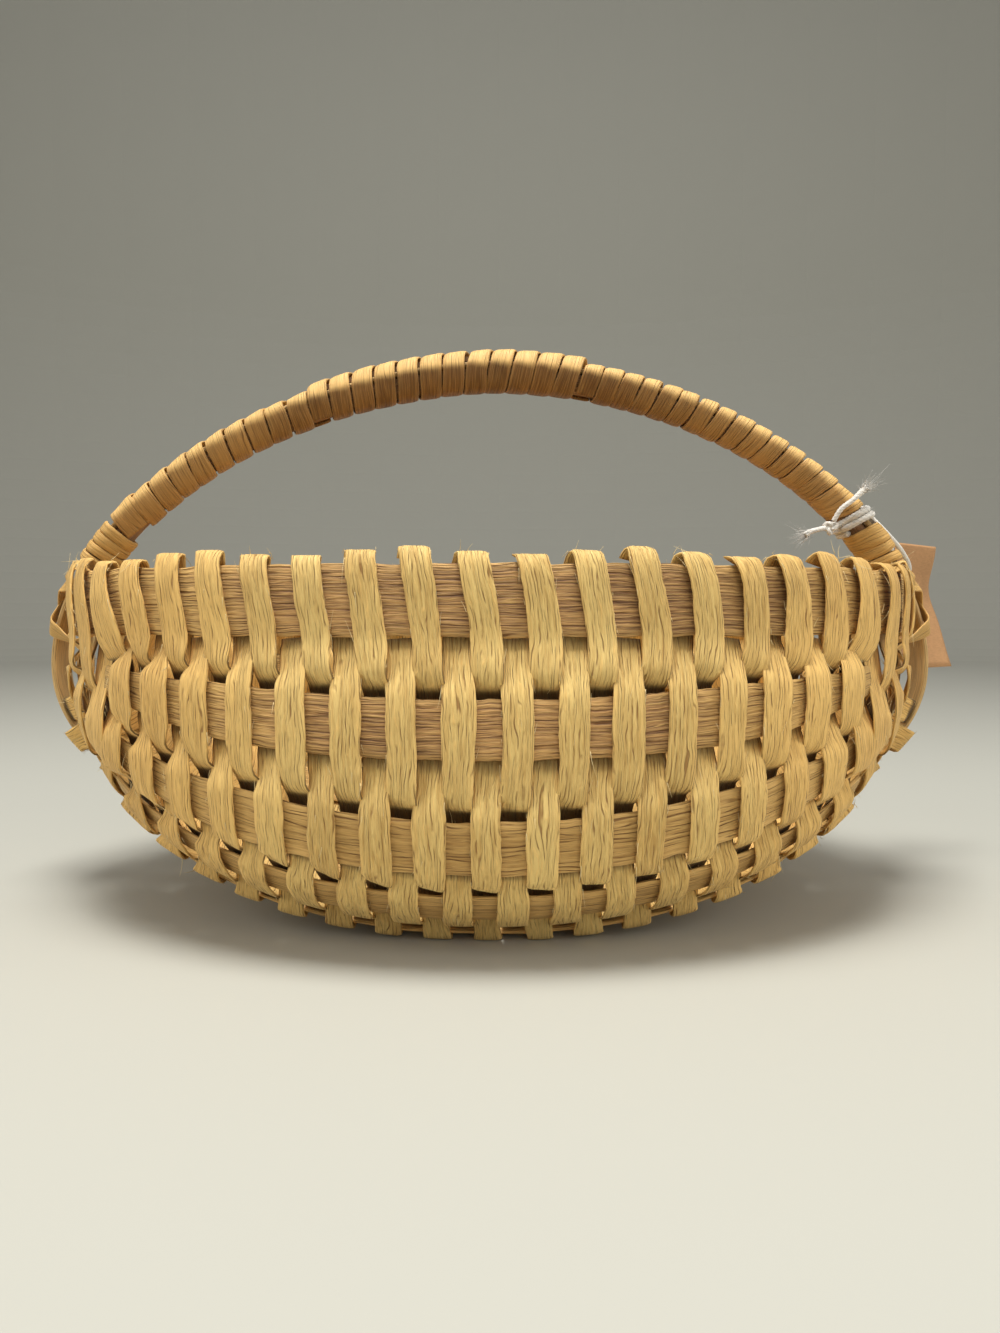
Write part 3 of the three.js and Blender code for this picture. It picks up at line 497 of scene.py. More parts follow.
def tube_frames(path):
    """Normals of a tube that turn as little as they can along its path."""
    way = unit(np.gradient(path, axis=0))
    normal = np.cross(way[0], [0.0, 1, 0] if abs(way[0][1]) < 0.9 else [1.0, 0, 0])
    normals = np.empty_like(path)
    for i, step in enumerate(way):
        normal = unit(normal - step * (normal @ step))
        normals[i] = normal
    return normals


def string_run(path, diameter, around=18, lay=0.0042, plies=3):
    """Plied string: a round section with one lobe a ply, turned once in every lay."""
    s = path_length(path)[:, None]
    turn = 2 * np.pi * np.arange(around) / around
    lobe = np.abs(np.cos(plies / 2 * (turn - 2 * np.pi * s / lay)))
    radius = np.asarray(diameter).reshape(-1, 1) / 2 * (0.84 + 0.2 * lobe)
    section = np.stack([radius * np.cos(turn), radius * np.sin(turn)], -1)
    return path, tube_frames(path), section, lobe, 0.5


def hair_piece(name, roots, ways, lifts, lengths, radius, tones, look, slot):
    """Loose fibres: each is a thin three-sided tube on the curve root + way * t * length
    + lift * t squared * length, drawn thicker than life so that it shows."""
    stations, around = 6, 3
    t = np.linspace(0, 1, stations)[None, :, None]
    path = roots[:, None] + (ways[:, None] * t + lifts[:, None] * t ** 2) * lengths[:, None, None]
    way = unit(np.gradient(path, axis=1))
    side = unit(np.cross(way, [0.31, 0.52, 0.79]))
    up = np.cross(way, side)
    turn = (2 * np.pi * np.arange(around) / around)[:, None]
    thin = (radius * (1 - 0.75 * t))[:, :, None]
    round_it = side[:, :, None] * np.cos(turn) + up[:, :, None] * np.sin(turn)
    rings = path[:, :, None] + round_it * thin
    first = (np.arange(len(roots)) * stations * around)[:, None, None]
    quads = (first + ring_faces(stations, around)[None]).reshape(-1, 4)[:, ::-1]
    triangles = (first + cap_faces(stations, around)[None]).reshape(-1, 3)[:, ::-1]
    corners = np.concatenate([quads.ravel(), triangles.ravel()])
    spot = np.stack([corners // around * 0.001, corners % around * 0.0002], -1)
    values = {"tone": np.repeat(tones, stations * around), "edge": 0.0}
    return make_piece(name, rings.reshape(-1, 3), quads, triangles, spot, values, look)


# Finishes: marks along a splint read its UV map, which is in metres. These are the settings
# of nodes that mix two colours, of noises on a flat map and of ranges with soft ends

BLEND = {"out": 2, "data_type": "RGBA"}
FLAT = {"noise_dimensions": "2D"}
SOFT = {"interpolation_type": "SMOOTHSTEP"}


def add(tree, kind, *inputs, out=0, **settings):
    """Adds a shader node, sets its settings, sets or links its inputs, and gives an output.
    The inputs are those from the first on, and a dict has others by number or name."""
    node = tree.nodes.new("ShaderNode" + kind)
    for key, value in settings.items():
        setattr(node, key, value)
    values = {}
    for number, value in enumerate(inputs):
        values.update(value if isinstance(value, dict) else {number: value})
    for key, value in values.items():
        if isinstance(value, bpy.types.NodeSocket):
            tree.links.new(value, node.inputs[key])
        else:
            node.inputs[key].default_value = value
    return node.outputs[out] if node.outputs else None


def tint(colour):
    """A colour of the panel, or (colour, how many times as bright), with its alpha."""
    name, times = (colour, 1.0) if isinstance(colour, str) else colour
    return (*(min(1.0, times * v) for v in getattr(bpy.context.scene.basket_colours, name)), 1.0)


def splint_finish(put, wood, fibre, cracks, depth=0.00035, deep=0.5, rough=0.62, grain=1.0,
                  middle=None, reach=0.11, top=None, stroke=1.8):
    """Wood split along its fibres. The eye sees long thin cracks between bundles of fibres,
    finer lengthwise streaks, a paler torn edge, slow changes of tone and painted shade in the
    slits where a splint goes behind a rib. wood is a light and a dark colour, middle the pair that
    the wood has halfway along the basket, top the colour of the painted highlight on the top of
    the handle, and stroke how many times as long as on a weaver the marks are. fibre is the width
    of a bundle, which is drawn coarser than in life so that it shows."""
    light, dark = tint(wood[0]), tint(wood[1])
    crack = (0.36 * dark[0], 0.24 * dark[1], 0.14 * dark[2], 1)
    crevice_shade_colour = (*(0.22 * c for c in crack[:3]), 1)
    edge = (*(min(1.0, 1.12 * c + 0.01) for c in light[:3]), 1)
    place = put("TexCoord", out="Object")
    uv = put("UVMap", uv_map=UV)
    tone, torn, tucked = (put("Attribute", out="Fac", attribute_name=label)
                          for label in ("tone", "edge", "tucked"))
    noises = []
    for scale in ((1 / (0.014 * stroke), 1 / (0.7 * fibre), 1),
                  (1 / (0.0045 * stroke), 3.2 / fibre, 1), (1 / (0.022 * stroke), 1 / 0.004, 1)):
        at = put("Mapping", uv, {3: scale})
        noises.append(put("TexNoise", {"Vector": at, "Scale": 1, "Detail": 2}, **FLAT))
    streak, fine, sway = noises
    # cracks run along the middles of swaying stripes, one fibre bundle wide, and each opens
    # and closes along its way by a noise of its own
    u, v = put("SeparateXYZ", uv).node.outputs[:2]
    stripe = put("Math", v, 1 / fibre, operation="MULTIPLY")
    stripe = put("Math", sway, 3.4, stripe, operation="MULTIPLY_ADD")
    number = put("Math", stripe, operation="FLOOR")
    number = put("Math", number, 7.31, operation="MULTIPLY")
    along = put("Math", u, 1 / (0.0065 * stroke), operation="MULTIPLY")
    at = put("CombineXYZ", along, number)
    opening = put("TexNoise", {"Vector": at, "Scale": 1, "Detail": 2}, **FLAT)
    share = put("Math", stripe, operation="FRACT")
    share = put("Math", share, -0.5, operation="ADD")
    share = put("Math", share, operation="ABSOLUTE")
    line = put("MapRange", share, cracks * 0.35, cracks, 1, 0)
    gate = put("MapRange", opening, 0.40, 0.62, 0, 1)
    crack_here = put("Math", line, gate, operation="MULTIPLY")
    # between the stripes a raised fibre catches the light here and there
    ridge = put("MapRange", share, 0.34, 0.46, 0, 1)
    closed = put("MapRange", opening, 0.42, 0.60, 1, 0)
    ridge = put("Math", ridge, closed, operation="MULTIPLY")
    # slow change of tone, patches of about 30 mm
    patch = put("TexNoise", {"Vector": place, "Scale": 33, "Detail": 2})
    fac = 0.62 - 0.75 * grain
    for source, weight in ((streak, 1.5 * grain), (fine, 1.1 * grain), (patch, 0.8), (tone, 0.7)):
        fac = put("Math", source, weight, fac, operation="MULTIPLY_ADD")
    fac = put("Math", fac, -0.75 - 0.55 * grain, operation="ADD", use_clamp=True)
    # towards the middle of the basket the wood takes the middle pair, which on the handle wrapping
    # is painted shade
    if middle:
        far = put("Math", put("SeparateXYZ", place), operation="ABSOLUTE")
        far = put("Math", patch, 0.06, far, operation="MULTIPLY_ADD")
        far = put("MapRange", far, reach * 0.45 + 0.03, reach + 0.03, 0, 1, **SOFT)
        light, dark = (put("Mix", far, {6: tint(near), 7: end}, **BLEND)
                       for near, end in zip(middle, (light, dark)))
    colour = put("Mix", fac, {6: dark, 7: light}, **BLEND)
    layers = []
    # painted highlight on the top side of the handle wrapping
    if top:
        worn = put("Attribute", out="Fac", attribute_name="worn")
        worn = put("Math", fine, 0.5, worn, operation="MULTIPLY_ADD")
        layers.append((put("Math", worn, -0.25, operation="ADD", use_clamp=True), tint(top)))
    for source, much, shade in ((torn, 0.45, edge), (ridge, 0.5 * grain, edge),
                                (crack_here, deep, crack)):
        layers.append((put("Math", source, much, operation="MULTIPLY"), shade))
    # painted shade, near black, in the slits where a splint goes behind a rib, where it comes out
    # below a member and on cut edges where neighbours pass
    layers.append((put("MapRange", tucked, 0.35, 0.95, 0, 0.9, **SOFT), crevice_shade_colour))
    for much, shade in layers:
        colour = put("Mix", much, {6: colour, 7: shade}, **BLEND)
    height = 0.0
    for source, weight in ((streak, 0.7 * grain), (fine, 0.5 * grain), (crack_here, -0.7),
                           (ridge, 0.35)):
        height = put("Math", source, weight, height, operation="MULTIPLY_ADD")
    bump = put("Bump", {"Height": height, "Strength": 0.9, "Distance": depth})
    return {"Base Color": colour, "Normal": bump, "Roughness": rough, "IOR": 1.5,
            "Specular IOR Level": 0.3, "Sheen Weight": 0.04, "Sheen Roughness": 0.5}


def cotton_finish(put):
    """Soft plied cotton: matt, off-white, with fibres across each ply, drawn coarser than in
    life so that they show, and painted shade, a little grey, in the grooves between the plies."""
    lobe = put("Attribute", out="Fac", attribute_name="edge")
    at = put("Mapping", put("UVMap", uv_map=UV), {2: (0, 0, 0.7), 3: (1 / 0.0025, 1 / 0.0003, 1)})
    fibre = put("TexNoise", {"Vector": at, "Scale": 1, "Detail": 3}, **FLAT)
    # painted shade: darker where the plies leave a groove
    fac = put("Math", lobe, 0.7, fibre, operation="MULTIPLY_ADD", use_clamp=True)
    shade = put("Mix", fac, {6: tint(("string", 0.55)), 7: tint("string")}, **BLEND)
    bump = put("Bump", {"Height": fibre, "Strength": 0.7, "Distance": 0.0003})
    return {"Base Color": shade, "Normal": bump, "Roughness": 0.9, "Specular IOR Level": 0.2,
            "Sheen Weight": 0.35, "Sheen Roughness": 0.6}


def card_finish(put):
    """Kraft card: flat and matt, with short pulp fibres, drawn coarser than in life so that
    they show, faint cloudy pressing and a paler cut edge."""
    place = put("TexCoord", out="Object")
    cut = put("Attribute", out="Fac", attribute_name="edge")
    at = put("Mapping", place, {3: (1 / 0.0025, 1 / 0.0025, 1 / 0.0006)})
    fibre = put("TexNoise", {"Vector": at, "Scale": 1, "Detail": 3})
    cloud = put("TexNoise", {"Vector": place, "Scale": 60, "Detail": 2})
    fac = put("Math", cloud, 0.8, fibre, operation="MULTIPLY_ADD")
    fac = put("Math", fac, -0.4, operation="ADD", use_clamp=True)
    shade = put("Mix", fac, {6: tint(("card", 0.72)), 7: tint(("card", 1.14))}, **BLEND)
    shade = put("Mix", cut, {6: shade, 7: tint(("card", 1.3))}, **BLEND)
    bump = put("Bump", {"Height": fibre, "Strength": 0.35, "Distance": 0.0001})
    return {"Base Color": shade, "Normal": bump, "Roughness": 0.8, "Specular IOR Level": 0.3}


def paper_sweep_finish(put):
    """Plain matt photo paper of the stage, one even tone with a very faint mottle."""
    cloud = put("TexNoise", {"Vector": put("TexCoord", out="Object"), "Scale": 6, "Detail": 2})
    shade = put("Mix", cloud, {6: tint(("paper", 0.985)), 7: tint("paper")}, **BLEND)
    return {"Base Color": shade, "Roughness": 0.75, "Specular IOR Level": 0.2}


RIB_SPLINT = partial(splint_finish, wood=("rib_light", "rib_dark"))
HEARTWOOD_SPLINT = partial(RIB_SPLINT, middle=("heart_light", "heart_dark"))
CLEAN_SPLINT = partial(splint_finish, fibre=0.0010, depth=0.0003)
FINISHES = {
    # honey ash with open cracks, paler and yellower halfway along the basket
    "split_reed_weaver": partial(
        splint_finish, wood=("weaver_light", "weaver_dark"), fibre=0.0011, cracks=0.13, deep=0.72,
        middle=("weaver_middle_light", "weaver_middle_dark"), reach=0.105, depth=0.0005,
        stroke=1.0),
    # pale and nearly plain
    "split_reed_fibre": partial(
        splint_finish, wood=("fibre", ("fibre", 0.7)), fibre=0.0011, cracks=0.01, deep=0.1),
    # thicker and browner, with deep cracks
    "flat_reed_rib": partial(RIB_SPLINT, fibre=0.0011, depth=0.0005, cracks=0.15, deep=0.8),
    # the same with dark streaky heartwood at mid length
    "flat_reed_rib_heartwood": partial(
        HEARTWOOD_SPLINT, reach=0.095, fibre=0.0011, depth=0.0005, cracks=0.16, deep=0.85,
        grain=1.35),
    # the boldest streaks and cracks of all, on the broad rim
    "flat_reed_rim": partial(
        HEARTWOOD_SPLINT, reach=0.110, fibre=0.0010, depth=0.0006, cracks=0.17, deep=0.88,
        grain=1.4),
    # bent and smoother
    "hardwood_hoop": partial(
        CLEAN_SPLINT, wood=("hoop", ("hoop", 0.6)), cracks=0.12, deep=0.65, rough=0.6, grain=1.1),
    # painted shade darkens the sides of its middle, and a painted highlight lightens its top
    "wrapping_splint": partial(
        CLEAN_SPLINT, wood=("wrap_end", ("wrap_end", 0.6)),
        middle=("wrap_side", ("wrap_side", 0.55)), reach=0.100, top="wrap_top", cracks=0.11,
        deep=0.6, rough=0.55, grain=0.9),
    # golden, with few marks
    "lashing_reed": partial(
        CLEAN_SPLINT, wood=("lashing", ("lashing", 0.68)), cracks=0.10, deep=0.55, rough=0.55,
        grain=0.9),
    # dull bare filler under the wrapping
    "handle_core_wood": partial(
        splint_finish, wood=("core", ("core", 0.5)), fibre=0.0010, cracks=0.10, rough=0.7),
    "plied_cotton": cotton_finish,
    "kraft_card": card_finish,
    "matt_paper": paper_sweep_finish,
}


def finish(name):
    """The material of a finish, made once."""
    if name in bpy.data.materials:
        return bpy.data.materials[name]
    material = bpy.data.materials.new(name)
    material.use_nodes = True
    material.node_tree.nodes.clear()
    put = partial(add, material.node_tree)
    put("OutputMaterial", put("BsdfPrincipled", FINISHES[name](put)))
    return material


# What a user would change

def colour_property(name, code, description):
    """A colour with its default as an sRGB hex code."""
    return bpy.props.FloatVectorProperty(name=name, description=description, subtype="COLOR",
                                         size=3, min=0, max=1, default=linear(code))


def length_property(name, default, most, description):
    """A length in metres."""
    return bpy.props.FloatProperty(name=name, description=description, default=default, min=0,
                                   max=most, unit="LENGTH", subtype="DISTANCE", precision=4)


class BasketSizes(bpy.types.PropertyGroup):
    """Widths of the weave, its loose fibres and the curl of the tag"""

    weaver_width: length_property("Weaver width", 0.0090, 0.012, "Width of a weaver over a rib")
    weaver_waist: length_property(
        "Weaver waist", 0.0083, 0.012, "Width of a weaver squeezed between two ribs")
    wrap_cover: length_property(
        "Handle wrap cover", 0.0008, 0.002, "Extra width of each turn of the handle wrapping")
    fray: length_property("Torn edge", 0.00012, 0.001, "Depth to which splint edges are torn")
    hair_length: length_property("Hair length", 0.0028, 0.02, "Mean length of the loose fibres")
    hair_thickness: length_property("Hair thickness", 0.00026, 0.001, "Thickness of a loose fibre")
    hair_count: bpy.props.IntProperty(
        name="Hairs", description="Number of loose fibres on the weave", default=3600, min=0,
        max=8000)
    tag_curl: length_property(
        "Tag curl", 0.007, 0.02, "How far the lower edge of the tag curls out")


class BasketColours(bpy.types.PropertyGroup):
    """Colours of the splints, the string, the card and the stage"""

    weaver_light: colour_property(
        "Weaver, light", "#ecc070", "Light fibres of the weavers near the ears")
    weaver_dark: colour_property(
        "Weaver, dark", "#c6974f", "Dark fibres of the weavers near the ears")
    weaver_middle_light: colour_property(
        "Weaver, middle, light", "#e6c67c", "Light fibres of the middle weavers")
    weaver_middle_dark: colour_property(
        "Weaver, middle, dark", "#b9924f", "Dark fibres of the middle weavers")
    rib_light: colour_property("Rib, light", "#dcb26b", "Light fibres of the ribs near the ears")
    rib_dark: colour_property("Rib, dark", "#a97f44", "Dark fibres of the ribs near the ears")
    heart_light: colour_property(
        "Heartwood, light", "#c6975d", "Light fibres of rim and ribs at mid length")
    heart_dark: colour_property(
        "Heartwood, dark", "#5f3b20", "Dark fibres of rim and ribs at mid length")
    hoop: colour_property("Hoop", "#cfa96c", "Bare hoop at the ears and under the basket")
    wrap_side: colour_property(
        # painted shade: the wrapping's sides at the middle of the handle, darker than its brown at
        # the feet
        "Handle wrap", "#7d5426", "Sides of the wrapped handle at its middle")
    wrap_end: colour_property(
        "Handle wrap, ends", "#bd8f50", "Sides of the wrapped handle near its feet")
    # painted highlight on the top of the wrapped handle
    wrap_top: colour_property("Handle wrap, top", "#e6bb72", "Worn top of the wrapped handle")
    fibre: colour_property("Loose fibre", "#ead29a", "Loose fibres on the weavers")
    core: colour_property("Handle core", "#b48a62", "Bare filler of the handle beside the string")
    lashing: colour_property("Lashing", "#d2a55c", "Lashing strips at the ears")
    string: colour_property("String", "#e2dcd0", "Cotton string of the tag")
    card: colour_property("Card", "#b5885c", "Kraft card of the tag")
    paper: colour_property("Floor and backdrop", "#b6b4a8", "Paper of the stage")


def sizes():
    """The sizes set in the panel."""
    return bpy.context.scene.basket_sizes


# Weave

def lane_share(k):
    """Share of lane k along the basket, with a jog past the ends of the short ribs."""
    k = np.asarray(k, float)
    jog = np.where(np.abs(k) > LAST_FULL_LANE, np.sign(k) * EAR_ZONE_STEP, 0)
    return LANE * k + jog + LANE_STRAY * np.sin(k * 0.9)


def lane_side(k):
    """1 where lane k passes outside the front rim, -1 where it passes inside."""
    return 1 if k % 2 == 0 else -1


def crossing(j, k, edge, side, wide):
    """Where lane k passes the edge of member j: off the flat side by half of both
    thicknesses, in the lane's upright plane, square to the rib beside the ears."""
    u = lane_share(k)
    still = ((j == 4) | (j == 8)) & (np.abs(u) < 0.02)
    u = u + np.where(still, 0, CROSSING_STRAY * np.sin(1.7 * j + 6 * u))
    place, across, outward = member_frame(j, u)
    upright = -np.cross(outward, [1.0, 0, 0])
    upright = upright / np.maximum(0.3, dot(upright, across))
    square = np.where(j == KEEL, 1, ramp(np.abs(u), EAR_ZONE, 0.08))[:, None]
    upright = mix(upright, across, square)
    swell = np.where(j == KEEL, KEEL_SWELL, RIB_SWELL) * np.abs(u) ** 3
    off = THICKNESS[j] / 2 + FIT + WEAVER_THICKNESS / 2 + swell
    reach = member_width(j, u) / 2 + EDGE_CLEAR + np.where(np.abs(u) > EAR_ZONE, EAR_CLEAR, 0)
    point = place + upright * (edge * reach)[:, None] + outward * (side * off)[:, None]
    full = sizes().weaver_width
    nearer = member_point(j, lane_share(k - (np.sign(k) or 1)))
    step = np.linalg.norm(member_point(j, lane_share(k)) - nearer, axis=-1)
    if wide:
        spread = 1 + EAR_WIDER * ease((np.abs(u) - 0.33) / 0.3)
        width = full * (1 + 0.06 * np.sin(j * 2.3 + k * 1.1)) * spread
        width = np.minimum(width, np.maximum(MOST_IN_STEPS * step, full))
    else:
        fan = 1 + FAN_WIDER * math.exp(-((abs(k) - LAST_FULL_LANE - 0.5) / 0.8) ** 2)
        width = np.clip(step * EAR_IN_STEPS, LEAST_EAR_WIDTH, full * 1.2)
        width = width * np.where(j == KEEL, 0.85, fan)
    return point, outward, width


def belly(crossed, sides, pairs, normal):
    """Middle stations between two members, and the stations beside them. Where a splint goes
    behind the lower of the two it stays outside until just above it, hangs over by a
    millimetre and dips in behind it, the more the wider the gap is."""
    front = crossed[1:] < KEEL
    lower = np.where(front, 1, 0)
    dips = np.where(front, sides[1:], sides[:-1]) < 0
    dips = dips & (crossed[1:] != KEEL) & (crossed[:-1] != KEEL)
    gap = np.linalg.norm(pairs[:, 0] - pairs[:, 1], axis=-1)
    much = (dips * ramp(gap, *HANGING))[:, None]
    row = np.arange(len(pairs))
    low, high = pairs[row, lower], pairs[row, 1 - lower]
    out = normal[row, lower]
    hanging = mix(high, low + out * dot(high - low, out), 0.66) + out * BELLY
    pairs = pairs.copy()
    pairs[row, lower] = low - out * DIP * much
    return mix((low + high) / 2, hanging, much), pairs


def threes(pairs, middle):
    """The stations before, between and after, in one row."""
    parts = np.stack([pairs[:, 0], middle, pairs[:, 1]], 1)
    return parts.reshape(-1, *parts.shape[2:])


def lane_stations(k):
    """Stations of lane k from the front rim to the back rim: both edges of every member it
    crosses, and a narrower one between two members. With them the normals, the widths and
    how much painted shade the outer face and the cut edges get in the slits."""
    crossed = np.arange(0, 13, 1 if abs(k) <= LAST_FULL_LANE else 2)
    wide = abs(k) < LAST_FULL_LANE
    sides = lane_side(k) * (1 - 2 * (np.arange(len(crossed)) % 2))
    j = np.repeat(crossed, 2)[1:-1]
    edge = np.tile([-1, 1], len(crossed))[1:-1]
    point, normal, width = crossing(j, k, edge, np.repeat(sides, 2)[1:-1], wide)
    pairs, normal = point.reshape(-1, 2, 3), normal.reshape(-1, 2, 3)
    width = width.reshape(-1, 2)
    if wide:
        room = ramp(np.linalg.norm(pairs[:, 0] - pairs[:, 1], axis=-1), *SQUEEZED)
        waist = sizes().weaver_waist
        width = mix(np.minimum(width, waist + 0.0008), width, room[:, None])
        narrow = mix(waist - 0.0002, waist + 0.0004, room)
    else:
        narrow = width.mean(1) * 0.95
    middle, pairs = belly(crossed, sides, pairs, normal)
    # halfway, where neighbours pass, every splint is turned the same way like a shingle, but
    # not near the floor
    mean = unit(normal.sum(1))
    turned = SHINGLE * ramp(middle[:, 2:], *TURNED) if wide else 0
    mean = unit(mean + np.cross(unit(pairs[:, 1] - pairs[:, 0]), mean) * turned)
    # painted shade of the slits: for the face 1 just above a rib that the splint goes behind, and
    # less just below one that it comes out of; for the cut edges also where neighbours pass
    front = (crossed[1:] <= KEEL)[:, None]
    behind = np.stack([sides[:-1] < 0, sides[1:] < 0], -1)
    above = np.where(front == np.array([False, True]), 1.0, BELOW_RIB_SHADE)
    tucked = threes(np.where(behind, above, 0), np.zeros(len(pairs)))
    edges = threes(behind, np.full(len(pairs), NEIGHBOUR_SHADE))
    return (threes(pairs, middle), threes(normal, mean), threes(width, narrow),
            np.stack([tucked, edges], -1))


def rim_turn(j, a, b):
    """Three stations round the top edge of rim j, from lane a on one side to lane b."""
    up = -1 if j == RIM else 1
    share = mix(lane_share(a), lane_share(b), np.array([0.36, 0.5, 1 - RIM_LEAN]))
    side = np.array([lane_side(a), 0, lane_side(b)])[:, None]
    off = RIM_THICKNESS / 2 + FIT + WEAVER_THICKNESS / 2 + TURN_CLEAR
    place, across, outward = member_frame(np.full(3, j), share)
    lift = TURN_RISE + TURN_STRAY * math.sin(a * 2.9 + b + j)
    rise = RIM_HEIGHT / 2 + np.array([0.0009, lift, 0.0009])[:, None]
    normal = unit(outward * side + across * up * np.array([0.5, 1, 0.5])[:, None])
    point = place + across * up * rise + outward * side * off
    narrow = 0.0012 if abs(a) > LAST_FULL_LANE else 0.0003
    return point, normal, np.full(3, sizes().weaver_width - narrow), np.zeros((3, 2))


def weaver_stations(first, last):
    """Stations of one splint through its lanes, with the normals kept on one face of it and
    the painted shade values negative where that is the inner face."""
    parts = []
    for k in range(first, last + 1):
        lane, start, end = lane_stations(k), RIM, BACK_RIM
        if lane_side(k) < 0:
            lane = [part[::-1] * sign for part, sign in zip(lane, (1, -1, 1, -1))]
            start, end = end, start
        if k == first and first > -LAST_LANE:
            parts.append(rim_turn(start, k - 1, k))
        parts.append(lane)
        if k < last:
            parts.append(rim_turn(end, k, k + 1))
    point, normal, width, tucked = (np.concatenate(column) for column in zip(*parts))
    turn = np.where((normal[1:] * normal[:-1]).sum(-1) < 0, -1, 1)
    turn = np.concatenate([[1], np.cumprod(turn)])[:, None]
    return point, normal * turn, width, tucked * turn


def splints():
    """Number, first and last lane of each weaver splint."""
    firsts = list(range(-LAST_LANE, LAST_LANE, LANES_PER_SPLINT))
    lasts = [k - 1 for k in firsts[1:]] + [LAST_LANE]
    return list(zip(range(1, len(firsts) + 1), firsts, lasts))


# Windings

def wrap_ring(raised, slack):
    """The eight places of a turn round the bow, as (outwards, along Y), from the inner side
    at the front over the back to the front again."""
    rise = OVERLAY_THICKNESS + FIT if raised else 0
    half = WRAP_THICKNESS / 2 + slack
    bevel = 0.0015
    top = HOOP_THICKNESS / 2 + FIT + half + WRAP_CLEAR
    shoulder = -HOOP_THICKNESS / 2 - 0.0006
    bottom = -(HOOP_THICKNESS / 2 + 2 * FIT + CORE_THICKNESS + half + 0.0001)
    side = HOOP_WIDTH / 2 + FIT + half + 0.0004
    low = CORE_FOOT / 2 + half + WRAP_CLEAR
    top_run = OVERLAY_WIDTH / 2 + 0.0009 if raised else side - bevel
    return np.array([
        (bottom, -low), (bottom, low), (shoulder, side), (top - bevel, side),
        (top + rise, top_run), (top + rise, -top_run), (top - bevel, -side), (shoulder, -side),
    ])


def wound_run(start, turns, raised, wrap, more, seed, tilt, lead=1, loose=0.0, early=0.0,
              late=0.0):
    """A splint wound round the bow: at each of the eight places of every turn it is at its
    place on the ring, a pitch further for each whole turn. It starts at place lead of the
    ring, each turn strays a little and is tilted like a shingle. The end of the last one may
    be wider and loose, and the first and the last one may reach further out by early and by
    late. Returns a run and its top side, on which the finish paints a highlight."""
    pitch, width, slack = wrap
    ring = wrap_ring(raised, slack)
    reach = path_length(np.concatenate([ring, ring[:1]]))
    i = np.arange(turns * PLACES) + lead
    k, number = i % PLACES, i // PLACES
    whole = number + (reach[k] - reach[lead]) / reach[PLACES]
    rng = np.random.default_rng(seed)
    irregular = 0.00025
    stray = rng.normal(0, irregular, turns + 2)[number]
    s = start + pitch * whole + stray * np.sin(2 * np.pi * k / PLACES + 0.8)
    outward = bow_outward(s)
    n, w = ring[k].T
    n = np.where(n < -HOOP_THICKNESS, n - core_swell(s), n)
    before, after = ring[(k - 1) % PLACES], ring[(k + 1) % PLACES]
    zero = np.zeros(len(i))
    normals = unit(outward * (before[:, 1] - after[:, 1])[:, None]
                   + np.stack([zero, after[:, 0] - before[:, 0], zero], -1))
    wide = width + more + rng.normal(0, irregular, turns + 2)[number]
    ahead = np.arange(len(i)) - len(i)
    last = ramp(ahead, -6, 3)
    new, old = 1 - ramp(np.arange(len(i)), 6, 4), ramp(ahead, -12, 4)
    wide = wide + loose * last + early * new + late * old
    s = s - early / 2 * new + late / 2 * old
    n = n + np.where(n > -HOOP_THICKNESS, 0.25 * loose * last, 0)
    # the top side of each turn, which the finish paints with a highlight
    worn = (n > 0).astype(float)
    path, extras = follow_stations(beside(s, n, w), [normals, wide, worn], 0.0009, 0.9)
    normals, wide, worn = unit(extras[0]), extras[1], extras[2]
    way = unit(np.gradient(path, axis=0))
    normals = normals * math.cos(tilt) + np.cross(way, normals) * math.sin(tilt)
    run = splint_run(path, normals, wide, WRAP_THICKNESS, seed, crown=0.00022, fray=0.00005,
                     tone=0.5 + wobble(path_length(path), seed, 0.09, 0.2))
    return run, worn[:, None]


def bow_windings():
    """Start, turns and (pitch, width, slack) of the right, middle and left winding of the
    handle, the turns spread evenly over the length that there is, and where the left neck
    lashing starts."""
    def spread(start, end, wrap):
        turns = max(2, int((end - start) / wrap[0]))
        return start, turns, ((end - start) / turns, wrap[1], wrap[2])

    def follow(start, turns, wrap, later):
        step = (wrap[1] + later[1]) / 2 + WINDING_GAP + max(0, wrap[0] - later[0])
        return start + wrap[0] * (turns - 1) + step

    neck_left = LAST_NECK - NECK_WRAP[1] / 2 - NECK_TURNS * NECK_WRAP[0]
    right_from = FIRST_NECK + NECK_LENGTH + BARE_NECK + RIGHT_WRAP[1] / 2
    right = spread(right_from, OVERLAY_START - BEFORE_OVERLAY, RIGHT_WRAP)
    middle = spread(follow(*right, MIDDLE_WRAP), OVERLAY_END, MIDDLE_WRAP)
    left_end = neck_left - NECK_WRAP[1] / 2 - LEFT_WRAP[1] / 2 - WINDING_GAP
    left = spread(follow(*middle, LEFT_WRAP), left_end, LEFT_WRAP)
    return right, middle, left, neck_left


def hoop_x_at(z, side):
    """How far out the hoop is at height z beside the right or left ear, side 1 or -1."""
    points = bow_point(side * np.linspace(0.3 * np.pi, 0.9 * np.pi, 1200))
    return float(np.interp(z, points[:, 2], points[:, 0] * side))


